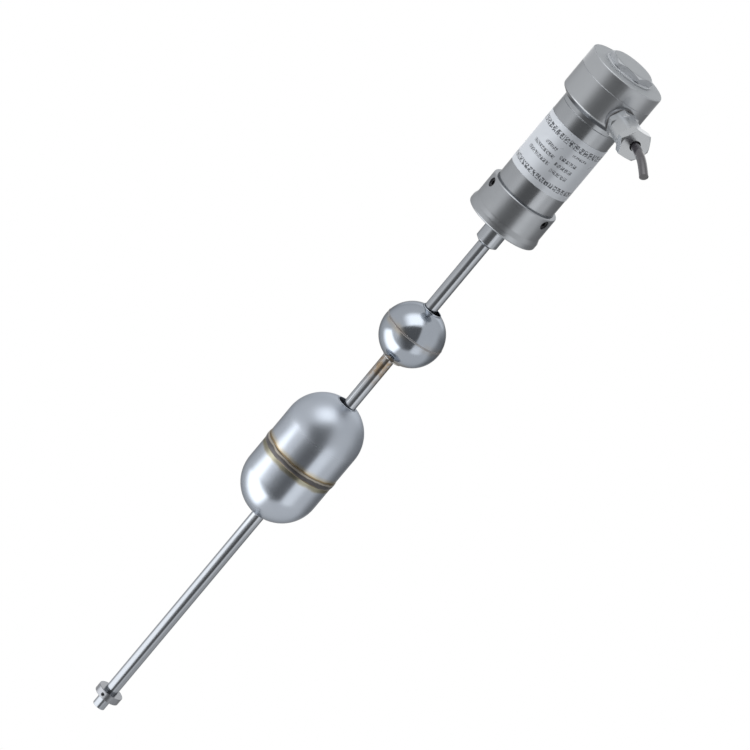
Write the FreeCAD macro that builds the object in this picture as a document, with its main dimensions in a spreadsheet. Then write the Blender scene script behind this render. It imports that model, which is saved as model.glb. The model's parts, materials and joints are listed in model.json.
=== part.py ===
import FreeCAD, Part
import math
import os

import Sketcher
from FreeCAD import Placement, Rotation, Vector

# Magnetostrictive level gauge: a wiring head on a barrel, a process collar, a guide rod and two floats.
# Millimetres, +Z up along the rod, origin at the centre of the seat under the collar's flange.
# The cable gland points along +X.

DRIVING_SIZES = {
    # fits
    "fixed_gap": 0.15,
    "moving_gap": 0.3,
    # broken edges of turned pieces
    "edge_break": 0.5,
    # guide rod, measured down from the seat
    "rod_diameter": 12.7,
    "rod_wall": 1.2,
    "rod_entry": 14.0,
    "probe_length": 603.2,
    "plug_height": 8.0,
    "plug_spigot": 10.0,
    "stop_rise": 12.4,
    "stop_height": 7.4,
    "stop_diameter": 25.7,
    "stop_chamfer": 0.5,
    "stop_screw_diameter": 3.6,
    "stop_socket_diameter": 1.8,
    "stop_socket_depth": 1.8,
    "stop_screw_angle": -53.0,
    # process collar and neck
    "flange_lip": 1.5,
    "flange_height": 10.4,
    "flange_taper": 4.4,
    "flange_round": 2.0,
    "collar_wall": 4.05,
    "collar_height": 24.9,
    "collar_round": 1.6,
    "web_thickness": 10.0,
    "neck_diameter": 22.6,
    "neck_length": 23.8,
    "neck_shank": 23.4,
    "neck_cone_width": 3.6,
    "neck_cone_height": 2.4,
    "clamp_screw_diameter": 9.2,
    "clamp_screw_drop": 6.4,
    "clamp_screw_sink": 1.4,
    "clamp_screw_point": 1.0,
    "clamp_socket_diameter": 4.4,
    "clamp_socket_depth": 1.8,
    "clamp_screw_count": 3,
    "clamp_screw_angle": 24.0,
    # barrel and its label
    "barrel_diameter": 61.8,
    "barrel_wall": 3.0,
    "barrel_show": 93.2,
    "label_drop": 14.8,
    "label_height": 58.7,
    "label_thickness": 0.25,
    "label_glue": 0.05,
    "label_gap": 34.0,
    "label_gap_angle": 144.0,
    # head casing
    "casing_diameter": 76.8,
    "skirt_height": 4.9,
    "shoulder_height": 4.8,
    "shoulder_ledge": 1.3,
    "shoulder_round": 1.6,
    "casing_wall_height": 27.1,
    "casing_wall": 7.4,
    "ledge_thickness": 5.0,
    "spigot_height": 8.0,
    "spigot_wall": 4.75,
    "lid_rim": 3.9,
    "lid_thread_height": 9.5,
    "gland_drop": 16.2,
    "gland_boss_margin": 2.7,
    "gland_boss_stand": 1.4,
    "gland_boss_root": 1.0,
    # lid
    "lid_height": 15.9,
    "lid_top": 4.4,
    "lid_round": 1.3,
    "boss_foot_lip": 0.6,
    "boss_foot_height": 1.8,
    "boss_foot_round": 0.6,
    "boss_flats": 40.8,
    "boss_height": 6.2,
    "boss_chamfer": 0.5,
    "lid_angle": -6.0,
    "seal_section": 2.0,
    # cable gland, along +X
    "washer_diameter": 28.0,
    "washer_thickness": 1.2,
    "gland_thread_diameter": 16.0,
    "gland_thread_length": 10.0,
    "gland_hex_flats": 25.6,
    "gland_hex_length": 8.6,
    "gland_body_diameter": 26.0,
    "gland_body_length": 19.5,
    "nut_thread_diameter": 18.6,
    "nut_thread_length": 6.2,
    "nut_flats": 28.0,
    "nut_length": 9.5,
    "nut_face_wall": 2.6,
    "nut_mouth": 10.6,
    "hex_chamfer": 0.2,
    "seal_diameter": 14.0,
    "seal_length": 15.0,
    "cable_diameter": 8.4,
    "cable_tail_end": 24.0,
    "core_diameter": 1.6,
    "core_pitch": 1.9,
    "core_lead": 9.0,
    # wiring chamber
    "plate_thickness": 2.4,
    "plate_hole": 10.0,
    "plate_screw_diameter": 3.0,
    "plate_screw_inset": 4.0,
    "terminal_length": 30.0,
    "terminal_width": 10.0,
    "terminal_height": 12.0,
    "terminal_offset": 6.0,
    "terminal_pitch": 7.0,
    "terminal_count": 4,
    "terminal_entry_rise": 4.8,
    "terminal_well_depth": 4.8,
    "terminal_screw_diameter": 3.6,
    "terminal_wire_hole": 2.4,
    # sensing element in the barrel
    "holder_height": 12.0,
    "slot_depth": 3.0,
    "bobbin_diameter": 18.0,
    "bobbin_height": 22.0,
    "bobbin_flange": 2.0,
    "bobbin_core": 8.0,
    "coil_diameter": 15.0,
    "damper_diameter": 10.0,
    "damper_height": 10.0,
    "board_width": 36.0,
    "board_height": 78.0,
    "board_thickness": 1.6,
    "board_inset": 13.9,
    "chip_side": 12.0,
    "chip_thickness": 2.0,
    "chip_rise": 44.0,
    "chip_pitch": 18.0,
    "capacitor_diameter": 8.0,
    "capacitor_length": 10.0,
    "capacitor_rise": 30.0,
    "capacitor_pitch": 20.0,
    # waveguide in the rod
    "wire_diameter": 1.0,
    "sleeve_diameter": 4.0,
    "sleeve_bore": 1.6,
    "return_diameter": 0.9,
    "return_offset": 3.1,
    "spacer_height": 6.0,
    "spacer_drop": 71.2,
    "spacer_rise": 40.0,
    "spacer_count": 6,
    "end_damper_height": 14.0,
    # ball float
    "ball_drop": 132.8,
    "ball_diameter": 61.2,
    "ball_wall": 1.0,
    "ball_bore": 18.0,
    "ball_sleeve_wall": 0.9,
    "ball_sleeve_lip": 1.2,
    "ball_seam_rise": 4.2,
    "ball_seam_width": 2.0,
    "ball_seam_height": 0.2,
    "ball_magnet_diameter": 34.0,
    "ball_magnet_height": 10.0,
    # capsule float
    "capsule_drop": 289.8,
    "capsule_diameter": 76.0,
    "capsule_length": 136.5,
    "capsule_wall": 1.2,
    "capsule_bore": 18.4,
    "capsule_sleeve_wall": 0.9,
    "capsule_sleeve_lip": 0.6,
    "capsule_seam_drop": 1.5,
    "capsule_seam_width": 7.5,
    "capsule_seam_height": 0.6,
    "capsule_magnet_diameter": 40.0,
    "capsule_magnet_height": 12.0,
    # directions in which the floats lean on the rod, in degrees from +X
    "ball_lean": 54.0,
    "capsule_lean": -126.0,
}

# Route of the free cable, from inside the gland to its cut end.
# Each point is a reach past the nut's face and a rise above the gland's axis.
CABLE_ROUTE = [
    (-11.6, 0.0),
    (9.25, 0.0),
    (24.75, -2.7),
    (38.75, -8.6),
]

# Share of the shorter straight run that a bend of a cable or core takes up.
BEND_SHARE = 0.45

# Largest relative error of a swept volume, and least volume that a cut takes away.
SWEEP_ERROR = 0.02
LEAST_CUT = 0.5


class Size:
    """A length that carries its number together with the sheet formula that gives it."""

    def __init__(self, number, formula):
        self.number = number
        self.formula = formula

    def __add__(self, other):
        other = as_size(other)
        return Size(self.number + other.number, f"({self.formula} + {other.formula})")

    def __sub__(self, other):
        other = as_size(other)
        return Size(self.number - other.number, f"({self.formula} - {other.formula})")

    def __mul__(self, other):
        other = as_size(other)
        return Size(self.number * other.number, f"({self.formula} * {other.formula})")

    def __truediv__(self, other):
        other = as_size(other)
        return Size(self.number / other.number, f"({self.formula} / {other.formula})")

    def __neg__(self):
        return Size(-self.number, f"(-{self.formula})")


def as_size(value):
    return value if isinstance(value, Size) else Size(float(value), repr(float(value)))


class Arc:
    """Round stretch of an outline about a centre; its far corner keeps only the coordinate named by held."""

    def __init__(self, centre_x, centre_y, anticlockwise, held):
        self.centre_x = as_size(centre_x)
        self.centre_y = as_size(centre_y)
        self.anticlockwise = anticlockwise
        self.held = held


class SizeTable:
    """The driving sizes, each readable as an attribute."""

    def __init__(self, sheet, numbers):
        for row, (name, number) in enumerate(numbers.items(), start=1):
            sheet.set(f"A{row}", name)
            sheet.set(f"B{row}", str(number))
            sheet.setAlias(f"B{row}", name)
            setattr(self, name, Size(float(number), f"{sheet.Name}.{name}"))


doc = FreeCAD.newDocument("LevelGauge")
sheet = doc.addObject("Spreadsheet::Sheet", "Sizes")
size = SizeTable(sheet, DRIVING_SIZES)
doc.recompute()

sub_parts = []

# Diameters that follow from the barrel, the casing and the rod.
barrel_bore = size.barrel_diameter - size.barrel_wall * 2
collar_diameter = size.barrel_diameter + size.fixed_gap * 2 + size.collar_wall * 2
flange_diameter = collar_diameter + size.flange_lip * 2
chamber_diameter = size.casing_diameter - size.casing_wall * 2
lid_thread_diameter = size.casing_diameter - size.lid_rim * 2
plate_screw_circle = chamber_diameter - size.plate_screw_inset * 2
board_offset = barrel_bore / 2 - size.board_inset
rod_bore = size.rod_diameter - size.rod_wall * 2

# Heights above the seat that several pieces share.
collar_top = size.flange_height + size.collar_height
barrel_bottom = size.web_thickness
casing_bottom = collar_top + size.barrel_show
barrel_length = casing_bottom - barrel_bottom
shoulder_top = casing_bottom + size.skirt_height + size.shoulder_height
casing_top = shoulder_top + size.casing_wall_height
chamber_floor = casing_bottom + size.skirt_height + size.ledge_thickness
gland_height = casing_top - size.gland_drop
holder_top = barrel_bottom + size.holder_height
bobbin_top = holder_top + size.bobbin_height
plate_top = chamber_floor + size.plate_thickness
first_terminal = size.terminal_pitch * (-size.terminal_count + 1) / 2
plug_top = size.plug_height - size.probe_length
spigot_top = plug_top + size.plug_spigot
damper_top = spigot_top + size.end_damper_height
return_hole = (size.return_offset, 0, size.return_diameter + size.fixed_gap * 2)

# Stations along the gland, measured from the rod's axis.
gland_boss_diameter = (size.gland_drop - size.gland_boss_margin) * 2
gland_boss_reach = size.casing_diameter / 2 + size.gland_boss_stand
hex_start = gland_boss_reach + size.washer_thickness
body_start = hex_start + size.gland_hex_length
body_end = body_start + size.gland_body_length
nut_start = body_end + size.fixed_gap
nut_face = nut_start + size.nut_length
seal_front = nut_face - size.nut_face_wall - size.fixed_gap

ALONG_Z = Rotation()
ALONG_X = Rotation(Vector(1, 1, 1), 120)
UPSIDE_DOWN = Rotation(Vector(1, 0, 0), 180)

PAIR = as_size(2)


def about_z(angle):
    return Rotation(Vector(0, 0, 1), angle.number)


def place(item, x=0.0, y=0.0, z=0.0, turn=ALONG_Z):
    """Put an item at a point of the row frame, each coordinate bound to the sheet."""
    x, y, z = as_size(x), as_size(y), as_size(z)
    item.Placement = Placement(Vector(x.number, y.number, z.number), turn)
    for axis, value in (("x", x), ("y", y), ("z", z)):
        if "Sizes." in value.formula:
            item.setExpression(f"Placement.Base.{axis}", value.formula)


def finish_sub_part(item, label):
    item.Label = label
    sub_parts.append(item)
    return item


def new_body(label):
    return finish_sub_part(doc.addObject("PartDesign::Body", label), label)


def new_sketch(body, role, name):
    planes = [item for item in body.Origin.OriginFeatures if item.Role == role]
    sketch = body.newObject("Sketcher::SketchObject", name)
    sketch.AttachmentSupport = (planes[0], [""])
    sketch.MapMode = "FlatFace"
    return sketch


def hold(sketch, kind, geometry, point, value):
    """Fix one coordinate of a sketch point, on an axis where it is zero and by a sheet formula elsewhere."""
    if "Sizes." not in value.formula and value.number == 0.0:
        axis = -2 if kind == "DistanceX" else -1
        sketch.addConstraint(Sketcher.Constraint("PointOnObject", geometry, point, axis))
        return
    index = sketch.addConstraint(Sketcher.Constraint(kind, -1, 1, geometry, point, value.number))
    if "Sizes." in value.formula:
        sketch.setExpression(f"Constraints[{index}]", value.formula)


def draw_loop(sketch, outline):
    """Draw a closed outline of corners, with an Arc between two corners where the edge is round."""
    corners = []
    arcs = {}
    for step in outline:
        if isinstance(step, Arc):
            arcs[len(corners) - 1] = step
        else:
            corners.append((as_size(step[0]), as_size(step[1])))
    count = len(corners)
    points = [Vector(x.number, y.number, 0) for x, y in corners]
    first = sketch.GeometryCount
    for index in range(count):
        start = points[index]
        end = points[(index + 1) % count]
        if index not in arcs:
            sketch.addGeometry(Part.LineSegment(start, end), False)
            continue
        arc = arcs[index]
        centre = Vector(arc.centre_x.number, arc.centre_y.number, 0)
        if not arc.anticlockwise:
            start, end = end, start
        angles = [math.atan2(p.y - centre.y, p.x - centre.x) for p in (start, end)]
        circle = Part.Circle(centre, Vector(0, 0, 1), (start - centre).Length)
        sketch.addGeometry(Part.ArcOfCircle(circle, angles[0], angles[1]), False)

    def start_point(index):
        reversed_arc = index in arcs and not arcs[index].anticlockwise
        return 2 if reversed_arc else 1

    for index in range(count):
        following = (index + 1) % count
        sketch.addConstraint(
            Sketcher.Constraint(
                "Coincident",
                first + index,
                3 - start_point(index),
                first + following,
                start_point(following),
            )
        )
    for index in range(count):
        before = arcs.get((index - 1) % count)
        if before is None or before.held != "y":
            hold(sketch, "DistanceX", first + index, start_point(index), corners[index][0])
        if before is None or before.held != "x":
            hold(sketch, "DistanceY", first + index, start_point(index), corners[index][1])
        if index in arcs:
            hold(sketch, "DistanceX", first + index, 3, arcs[index].centre_x)
            hold(sketch, "DistanceY", first + index, 3, arcs[index].centre_y)


def draw_circle(sketch, x, y, diameter):
    x, y, diameter = as_size(x), as_size(y), as_size(diameter)
    circle = Part.Circle(Vector(x.number, y.number, 0), Vector(0, 0, 1), diameter.number / 2)
    index = sketch.addGeometry(circle, False)
    hold(sketch, "DistanceX", index, 3, x)
    hold(sketch, "DistanceY", index, 3, y)
    bound = sketch.addConstraint(Sketcher.Constraint("Diameter", index, diameter.number))
    sketch.setExpression(f"Constraints[{bound}]", diameter.formula)


def turn_outline(body, outline, kind="Revolution", axis="V_Axis", angle=None):
    """Turn an outline of (radius, height) corners about the body's own axis, as added or removed material."""
    sketch = new_sketch(body, "XZ_Plane", kind + "Outline")
    draw_loop(sketch, outline)
    feature = body.newObject("PartDesign::" + kind, kind)
    feature.Profile = sketch
    feature.ReferenceAxis = (sketch, [axis])
    feature.Angle = 360.0
    if angle is not None:
        feature.setExpression("Angle", angle.formula)
    doc.recompute()
    return feature


def turned(label, outline, x=0.0, y=0.0, z=0.0, turn=ALONG_Z):
    """A turned piece from its half section."""
    body = new_body(label)
    turn_outline(body, outline)
    place(body, x, y, z, turn)
    return body


def plan_sketch(body, plane, loops, level):
    """Sketch closed loops and circles on one of the body's planes, raised to a level."""
    sketch = new_sketch(body, plane, "Plan")
    for loop in loops:
        if isinstance(loop, tuple):
            draw_circle(sketch, *loop)
        else:
            draw_loop(sketch, loop)
    if level is not None:
        sketch.AttachmentOffset = Placement(Vector(0, 0, level.number), Rotation())
        sketch.setExpression("AttachmentOffset.Base.z", level.formula)
    return sketch


def add_plan_feature(body, kind, sketch, length, reverse):
    feature = body.newObject("PartDesign::" + kind, kind)
    feature.Profile = sketch
    feature.Reversed = reverse
    feature.Length = length.number
    feature.setExpression("Length", length.formula)
    doc.recompute()
    return feature


def pad(body, loops, height, plane="XY_Plane", level=None, reverse=False):
    """Raise the loops and circles of a plan into a block."""
    return add_plan_feature(body, "Pad", plan_sketch(body, plane, loops, level), height, reverse)


def cut(body, loops, depth, plane="XY_Plane", level=None, downward=False):
    """Cut the loops and circles of a plan out of a body, along the plane's normal or against it."""
    volume = body.Tip.Shape.Volume
    sketch = plan_sketch(body, plane, loops, level)
    feature = add_plan_feature(body, "Pocket", sketch, depth, not downward)
    if not feature.Shape.Volume < volume - LEAST_CUT:
        raise RuntimeError(f"a cut takes nothing from {body.Label}")
    return feature


def tube_outline(bore, diameter, low, high):
    """Half section of a plain ring between two heights."""
    return [
        (bore / 2, low),
        (diameter / 2, low),
        (diameter / 2, high),
        (bore / 2, high),
    ]


def rod_outline(diameter, low, high):
    """Half section of a plain round bar between two heights."""
    return [(0, low), (diameter / 2, low), (diameter / 2, high), (0, high)]


def hexagon(flats):
    """Corners of a regular hexagon with two corners on its X axis."""
    corner = flats / math.sqrt(3.0)
    half = flats / 2
    return [
        (corner, 0),
        (corner / 2, half),
        (-corner / 2, half),
        (-corner, 0),
        (-corner / 2, -half),
        (corner / 2, -half),
    ]


def break_corners(body, flats, chamfer, level, direction):
    """Turn the corners of a hexagon's end down to a 30 degree cone that runs up or down from a level."""
    reach = flats
    edge = flats / 2 - chamfer
    drop = (reach - edge) * math.tan(math.radians(30.0))
    level = as_size(level)
    turn_outline(body, [(edge, level), (reach, level + drop * direction), (reach, level)], kind="Groove")


def rectangle(low_x, low_y, high_x, high_y):
    return [(low_x, low_y), (high_x, low_y), (high_x, high_y), (low_x, high_y)]


def round_edges(body, radius, spots):
    """Fillet the circular edges that lie at the given radii and heights of the body's own frame."""
    base = body.Tip
    names = []
    for index, edge in enumerate(base.Shape.Edges, start=1):
        curve = edge.Curve
        if not isinstance(curve, Part.Circle):
            continue
        for spot_radius, spot_height in spots:
            same_radius = abs(curve.Radius - as_size(spot_radius).number) < 1e-4
            same_height = abs(curve.Center.z - as_size(spot_height).number) < 1e-4
            if same_radius and same_height:
                names.append(f"Edge{index}")
    feature = body.newObject("PartDesign::Fillet", "Round")
    feature.Base = (base, names)
    feature.Radius = radius.number
    feature.setExpression("Radius", radius.formula)
    doc.recompute()
    return feature


def repeat_about_axis(body, features, count):
    """Copy features round the body's Z axis."""
    axes = [item for item in body.Origin.OriginFeatures if item.Role == "Z_Axis"]
    pattern = body.newObject("PartDesign::PolarPattern", "Around")
    pattern.Originals = features
    pattern.Axis = (axes[0], [""])
    pattern.Angle = 360.0
    pattern.Occurrences = int(count.number)
    pattern.setExpression("Occurrences", count.formula)
    body.Tip = pattern
    doc.recompute()
    return pattern


def repeat_along(body, features, role, pitch, count):
    """Copy features along one of the body's axes at a fixed pitch."""
    axes = [item for item in body.Origin.OriginFeatures if item.Role == role]
    pattern = body.newObject("PartDesign::LinearPattern", "Along")
    pattern.Originals = features
    pattern.Direction = (axes[0], [""])
    pattern.Mode = "Spacing"
    pattern.Offset = pitch.number
    pattern.Occurrences = int(count.number)
    pattern.setExpression("Offset", pitch.formula)
    pattern.setExpression("Occurrences", count.formula)
    body.Tip = pattern
    doc.recompute()
    return pattern


def base_collar():
    """Turned collar with a flange below, a socket for the barrel and three tapped holes for its screws."""
    body = new_body("base_collar")
    flange = flange_diameter / 2
    collar = collar_diameter / 2
    socket = size.barrel_diameter / 2 + size.fixed_gap
    shank = size.neck_shank / 2 + size.fixed_gap
    turn_outline(
        body,
        [
            (shank, 0),
            (flange, 0),
            (flange, size.flange_height - size.flange_taper),
            (collar, size.flange_height),
            (collar, collar_top),
            (socket, collar_top),
            (socket, size.web_thickness),
            (shank, size.web_thickness),
        ],
    )
    round_edges(body, size.flange_round, [(flange, 0)])
    round_edges(body, size.collar_round, [(collar, collar_top)])
    screw_hole = (0, collar_top - size.clamp_screw_drop, size.clamp_screw_diameter)
    hole = cut(body, [screw_hole], flange, plane="YZ_Plane")
    repeat_about_axis(body, [hole], size.clamp_screw_count)
    place(body, turn=about_z(size.clamp_screw_angle))


def clamp_screws():
    """Socket set screws that hold the barrel in the collar, sunk below its surface."""
    body = new_body("clamp_screws")
    tip = size.barrel_diameter / 2 + size.fixed_gap
    head = collar_diameter / 2 - size.clamp_screw_sink
    radius = size.clamp_screw_diameter / 2 - size.fixed_gap
    socket = size.clamp_socket_diameter / 2
    socket_floor = head - size.clamp_socket_depth
    screw = turn_outline(
        body,
        [
            (tip, 0),
            (socket_floor, 0),
            (socket_floor, socket),
            (head, socket),
            (head, radius),
            (tip + size.clamp_screw_point, radius),
            (tip, radius - size.clamp_screw_point),
        ],
        axis="H_Axis",
    )
    repeat_about_axis(body, [screw], size.clamp_screw_count)
    place(body, z=collar_top - size.clamp_screw_drop, turn=about_z(size.clamp_screw_angle))


def rod_neck():
    """Neck below the seat, with a shank in the collar's web and a cone at its foot."""
    radius = size.neck_diameter / 2
    bore = size.rod_diameter / 2 + size.fixed_gap
    turned(
        "rod_neck",
        [
            (bore, -size.neck_length),
            (radius - size.neck_cone_width, -size.neck_length),
            (radius, -size.neck_length + size.neck_cone_height),
            (radius, 0),
            (size.neck_shank / 2, 0),
            (size.neck_shank / 2, size.web_thickness),
            (bore, size.web_thickness),
        ],
    )


def barrel():
    """Tube between collar and casing, its edges broken where it meets them."""
    inner = barrel_bore / 2
    outer = size.barrel_diameter / 2
    turned(
        "barrel",
        [
            (inner, 0),
            (outer - size.edge_break, 0),
            (outer, size.edge_break),
            (outer, barrel_length - size.edge_break),
            (outer - size.edge_break, barrel_length),
            (inner, barrel_length),
        ],
        z=barrel_bottom,
    )


def label():
    """Thin bare plate wrapped round the barrel, with a gap at the back."""
    body = new_body("label")
    inner = size.barrel_diameter + size.label_glue * 2
    outer = inner + size.label_thickness * 2
    top = casing_bottom - size.label_drop
    turn_outline(
        body,
        tube_outline(inner, outer, top - size.label_height, top),
        angle=as_size(360) - size.label_gap,
    )
    place(body, turn=about_z(size.label_gap_angle + size.label_gap / 2))


def head_casing():
    """Casing: skirt on the barrel, chamfered shoulder, wiring chamber, lid thread and gland boss."""
    body = new_body("head_casing")
    skirt = size.barrel_diameter / 2
    outer = size.casing_diameter / 2
    spigot = barrel_bore / 2 - size.fixed_gap
    thread = lid_thread_diameter / 2
    chamber = chamber_diameter / 2
    ledge = spigot - size.spigot_wall
    skirt_top = casing_bottom + size.skirt_height
    rim_top = casing_top + size.lid_thread_height
    turn_outline(
        body,
        [
            (ledge, casing_bottom - size.spigot_height),
            (spigot, casing_bottom - size.spigot_height),
            (spigot, casing_bottom),
            (skirt - size.edge_break, casing_bottom),
            (skirt, casing_bottom + size.edge_break),
            (skirt, skirt_top),
            (skirt + size.shoulder_ledge, skirt_top),
            (outer, shoulder_top),
            (outer, casing_top),
            (thread, casing_top),
            (thread, rim_top),
            (chamber, rim_top),
            (chamber, chamber_floor),
            (ledge, chamber_floor),
        ],
    )
    round_edges(body, size.shoulder_round, [(outer, shoulder_top)])
    boss = (0, gland_height, gland_boss_diameter)
    boss_root = chamber + size.gland_boss_root
    pad(body, [boss], gland_boss_reach - boss_root, plane="YZ_Plane", level=boss_root)
    entry = (0, gland_height, size.gland_thread_diameter + size.fixed_gap * 2)
    cut(body, [entry], gland_boss_reach, plane="YZ_Plane")


def lid():
    """Screw cap with a hexagonal boss on a round foot, hollow inside for the casing's thread."""
    body = new_body("lid")
    outer = size.casing_diameter / 2
    bore = lid_thread_diameter / 2 + size.moving_gap
    seal_room = bore + size.seal_section + size.moving_gap
    seal_height = size.seal_section + size.moving_gap * 2
    foot = size.boss_flats / math.sqrt(3.0) + size.boss_foot_lip
    foot_top = size.lid_height + size.boss_foot_height
    turn_outline(
        body,
        [
            (0, size.lid_height - size.lid_top),
            (bore, size.lid_height - size.lid_top),
            (bore, seal_height),
            (seal_room, seal_height),
            (seal_room, 0),
            (outer, 0),
            (outer, size.lid_height),
            (foot, size.lid_height),
            (foot, foot_top),
            (0, foot_top),
        ],
    )
    round_edges(body, size.lid_round, [(outer, size.lid_height)])
    round_edges(body, size.boss_foot_round, [(foot, foot_top)])
    pad(body, [hexagon(size.boss_flats)], size.boss_height, level=foot_top)
    break_corners(body, size.boss_flats, size.boss_chamfer, foot_top + size.boss_height, -1)
    place(body, z=casing_top, turn=about_z(size.lid_angle))


def lid_seal():
    """Round sealing ring in the lid's rim, on the casing's shoulder."""
    radius = size.seal_section / 2
    ring = lid_thread_diameter / 2 + size.moving_gap + radius
    item = doc.addObject("Part::Torus", "lid_seal")
    item.setExpression("Radius1", ring.formula)
    item.setExpression("Radius2", radius.formula)
    place(item, z=casing_top + size.moving_gap + radius)
    finish_sub_part(item, "lid_seal")


def gland_washer():
    bore = size.gland_thread_diameter + size.fixed_gap * 2
    turned(
        "gland_washer",
        tube_outline(bore, size.washer_diameter, 0, size.washer_thickness),
        x=gland_boss_reach,
        z=gland_height,
        turn=ALONG_X,
    )


def gland_body():
    """Gland body: thread in the casing, hexagon, round body, thread for the nut and a seat for the seal."""
    body = new_body("gland_body")
    pad(body, [hexagon(size.gland_hex_flats)], size.gland_hex_length)
    break_corners(body, size.gland_hex_flats, size.hex_chamfer, 0, 1)
    break_corners(body, size.gland_hex_flats, size.hex_chamfer, size.gland_hex_length, -1)
    thread = size.gland_thread_diameter / 2
    barrel_radius = size.gland_body_diameter / 2
    end = size.gland_hex_length + size.gland_body_length
    nut_thread_end = end + size.nut_thread_length
    bore = size.cable_diameter / 2 + size.moving_gap
    turn_outline(
        body,
        [
            (0, -size.gland_thread_length),
            (thread, -size.gland_thread_length),
            (thread, 0),
            (thread, size.gland_hex_length),
            (barrel_radius, size.gland_hex_length),
            (barrel_radius, end),
            (size.nut_thread_diameter / 2, end),
            (size.nut_thread_diameter / 2, nut_thread_end),
            (0, nut_thread_end),
        ],
    )
    seat = seal_front - hex_start - size.seal_length - size.fixed_gap
    turn_outline(
        body,
        [
            (0, -size.gland_thread_length),
            (bore, -size.gland_thread_length),
            (bore, seat),
            (size.seal_diameter / 2 + size.fixed_gap, seat),
            (size.seal_diameter / 2 + size.fixed_gap, nut_thread_end),
            (0, nut_thread_end),
        ],
        kind="Groove",
    )
    place(body, x=hex_start, z=gland_height, turn=ALONG_X)


def gland_nut():
    """Hexagonal cap nut with a mouth for the cable."""
    body = new_body("gland_nut")
    pad(body, [hexagon(size.nut_flats)], size.nut_length)
    break_corners(body, size.nut_flats, size.hex_chamfer, 0, 1)
    break_corners(body, size.nut_flats, size.hex_chamfer, size.nut_length, -1)
    thread = size.nut_thread_diameter / 2 + size.fixed_gap
    face = size.nut_length - size.nut_face_wall
    turn_outline(
        body,
        [
            (0, 0),
            (thread, 0),
            (thread, face),
            (size.nut_mouth / 2, face),
            (size.nut_mouth / 2, size.nut_length),
            (0, size.nut_length),
        ],
        kind="Groove",
    )
    place(body, x=nut_start, z=gland_height, turn=ALONG_X)


def gland_seal():
    """Rubber grommet squeezed between the body and the nut."""
    turned(
        "gland_seal",
        tube_outline(
            size.cable_diameter + size.fixed_gap * 2,
            size.seal_diameter,
            0,
            size.seal_length,
        ),
        x=seal_front - size.seal_length,
        z=gland_height,
        turn=ALONG_X,
    )


def route_path(points):
    """Straight runs joined by tangent arcs, each as large as its two runs allow, with their radii."""
    edges = []
    radii = []
    start = points[0]
    for before, corner, after in zip(points, points[1:], points[2:]):
        run_in = corner - before
        run_out = after - corner
        turn = run_in.getAngle(run_out)
        setback = BEND_SHARE * min(run_in.Length, run_out.Length)
        arc_start = corner - run_in.normalize() * setback
        arc_end = corner + run_out.normalize() * setback
        radius = setback / math.tan(turn / 2)
        inward = (run_out - run_in).normalize()
        middle = corner + inward * (radius / math.cos(turn / 2) - radius)
        edges.append(Part.LineSegment(start, arc_start).toShape())
        edges.append(Part.Arc(arc_start, middle, arc_end).toShape())
        radii.append(radius)
        start = arc_end
    edges.append(Part.LineSegment(start, points[-1]).toShape())
    return Part.Wire(edges), radii


def swept_tube(points, diameter):
    """Round bar along a route, checked against its section times its length."""
    path, radii = route_path(points)
    heading = points[1] - points[0]
    section = Part.Wire([Part.Circle(points[0], heading, diameter / 2).toShape()])
    solid = path.makePipeShell([section], True, False)
    expected = math.pi * diameter**2 / 4 * path.Length
    if abs(solid.Volume - expected) > SWEEP_ERROR * expected:
        raise RuntimeError("a swept tube has the wrong volume")
    return solid, path.Length, radii


def cable():
    """Free stub of the cable, out of the gland to its cut end."""
    points = [
        Vector(nut_face.number + reach, 0, gland_height.number + rise) for reach, rise in CABLE_ROUTE
    ]
    solid, length, radii = swept_tube(points, size.cable_diameter.number)
    print("cable length %.2f, radii %s" % (length, ", ".join("%.1f" % r for r in radii)))
    item = doc.addObject("Part::Feature", "cable")
    item.Shape = solid
    finish_sub_part(item, "cable")


def cable_tail():
    """Sheathed end of the cable inside the gland, up to the wiring chamber."""
    turned(
        "cable_tail",
        rod_outline(size.cable_diameter, 0, nut_face + CABLE_ROUTE[0][0] - size.cable_tail_end),
        x=size.cable_tail_end,
        z=gland_height,
        turn=ALONG_X,
    )


def cable_cores():
    """Insulated cores from the cable's end, fanned out to the terminals."""
    tail = size.cable_tail_end.number
    height = gland_height.number
    lead = size.core_lead.number
    block_face = size.terminal_width.number / 2 - size.terminal_offset.number
    entry_height = (plate_top + size.terminal_entry_rise).number
    count = int(size.terminal_count.number)
    solids = []
    for step in range(count):
        place_in_row = step - (count - 1) / 2
        side = place_in_row * size.core_pitch.number
        row = place_in_row * size.terminal_pitch.number
        points = [
            Vector(tail, side, height),
            Vector(tail - lead, side, height),
            Vector(block_face + lead, row, entry_height),
            Vector(block_face, row, entry_height),
        ]
        solids.append(swept_tube(points, size.core_diameter.number)[0])
    item = doc.addObject("Part::Feature", "cable_cores")
    item.Shape = Part.makeCompound(solids)
    finish_sub_part(item, "cable_cores")


def terminal_plate():
    """Round plate on the casing's ledge, closing the barrel below the wiring chamber."""
    body = new_body("terminal_plate")
    plan = [(0, 0, chamber_diameter - size.fixed_gap * 2)]
    plan.append((0, -chamber_diameter / 4, size.plate_hole))
    for side in (1, -1):
        spot = plate_screw_circle / 2 * side
        plan.append((0, spot, size.plate_screw_diameter + size.fixed_gap * 2))
    pad(body, plan, size.plate_thickness)
    place(body, z=chamber_floor)


def plate_screws():
    """Pan head screws of the terminal plate, with their shanks in its holes."""
    body = new_body("plate_screws")
    shank = size.plate_screw_diameter / 2
    head = size.plate_screw_diameter
    screw = turn_outline(
        body,
        [
            (0, 0),
            (shank, 0),
            (shank, size.plate_thickness),
            (head, size.plate_thickness),
            (head, size.plate_thickness + shank),
            (0, size.plate_thickness + shank),
        ],
    )
    repeat_along(body, [screw], "Y_Axis", plate_screw_circle, PAIR)
    place(body, y=-plate_screw_circle / 2, z=chamber_floor)


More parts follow.
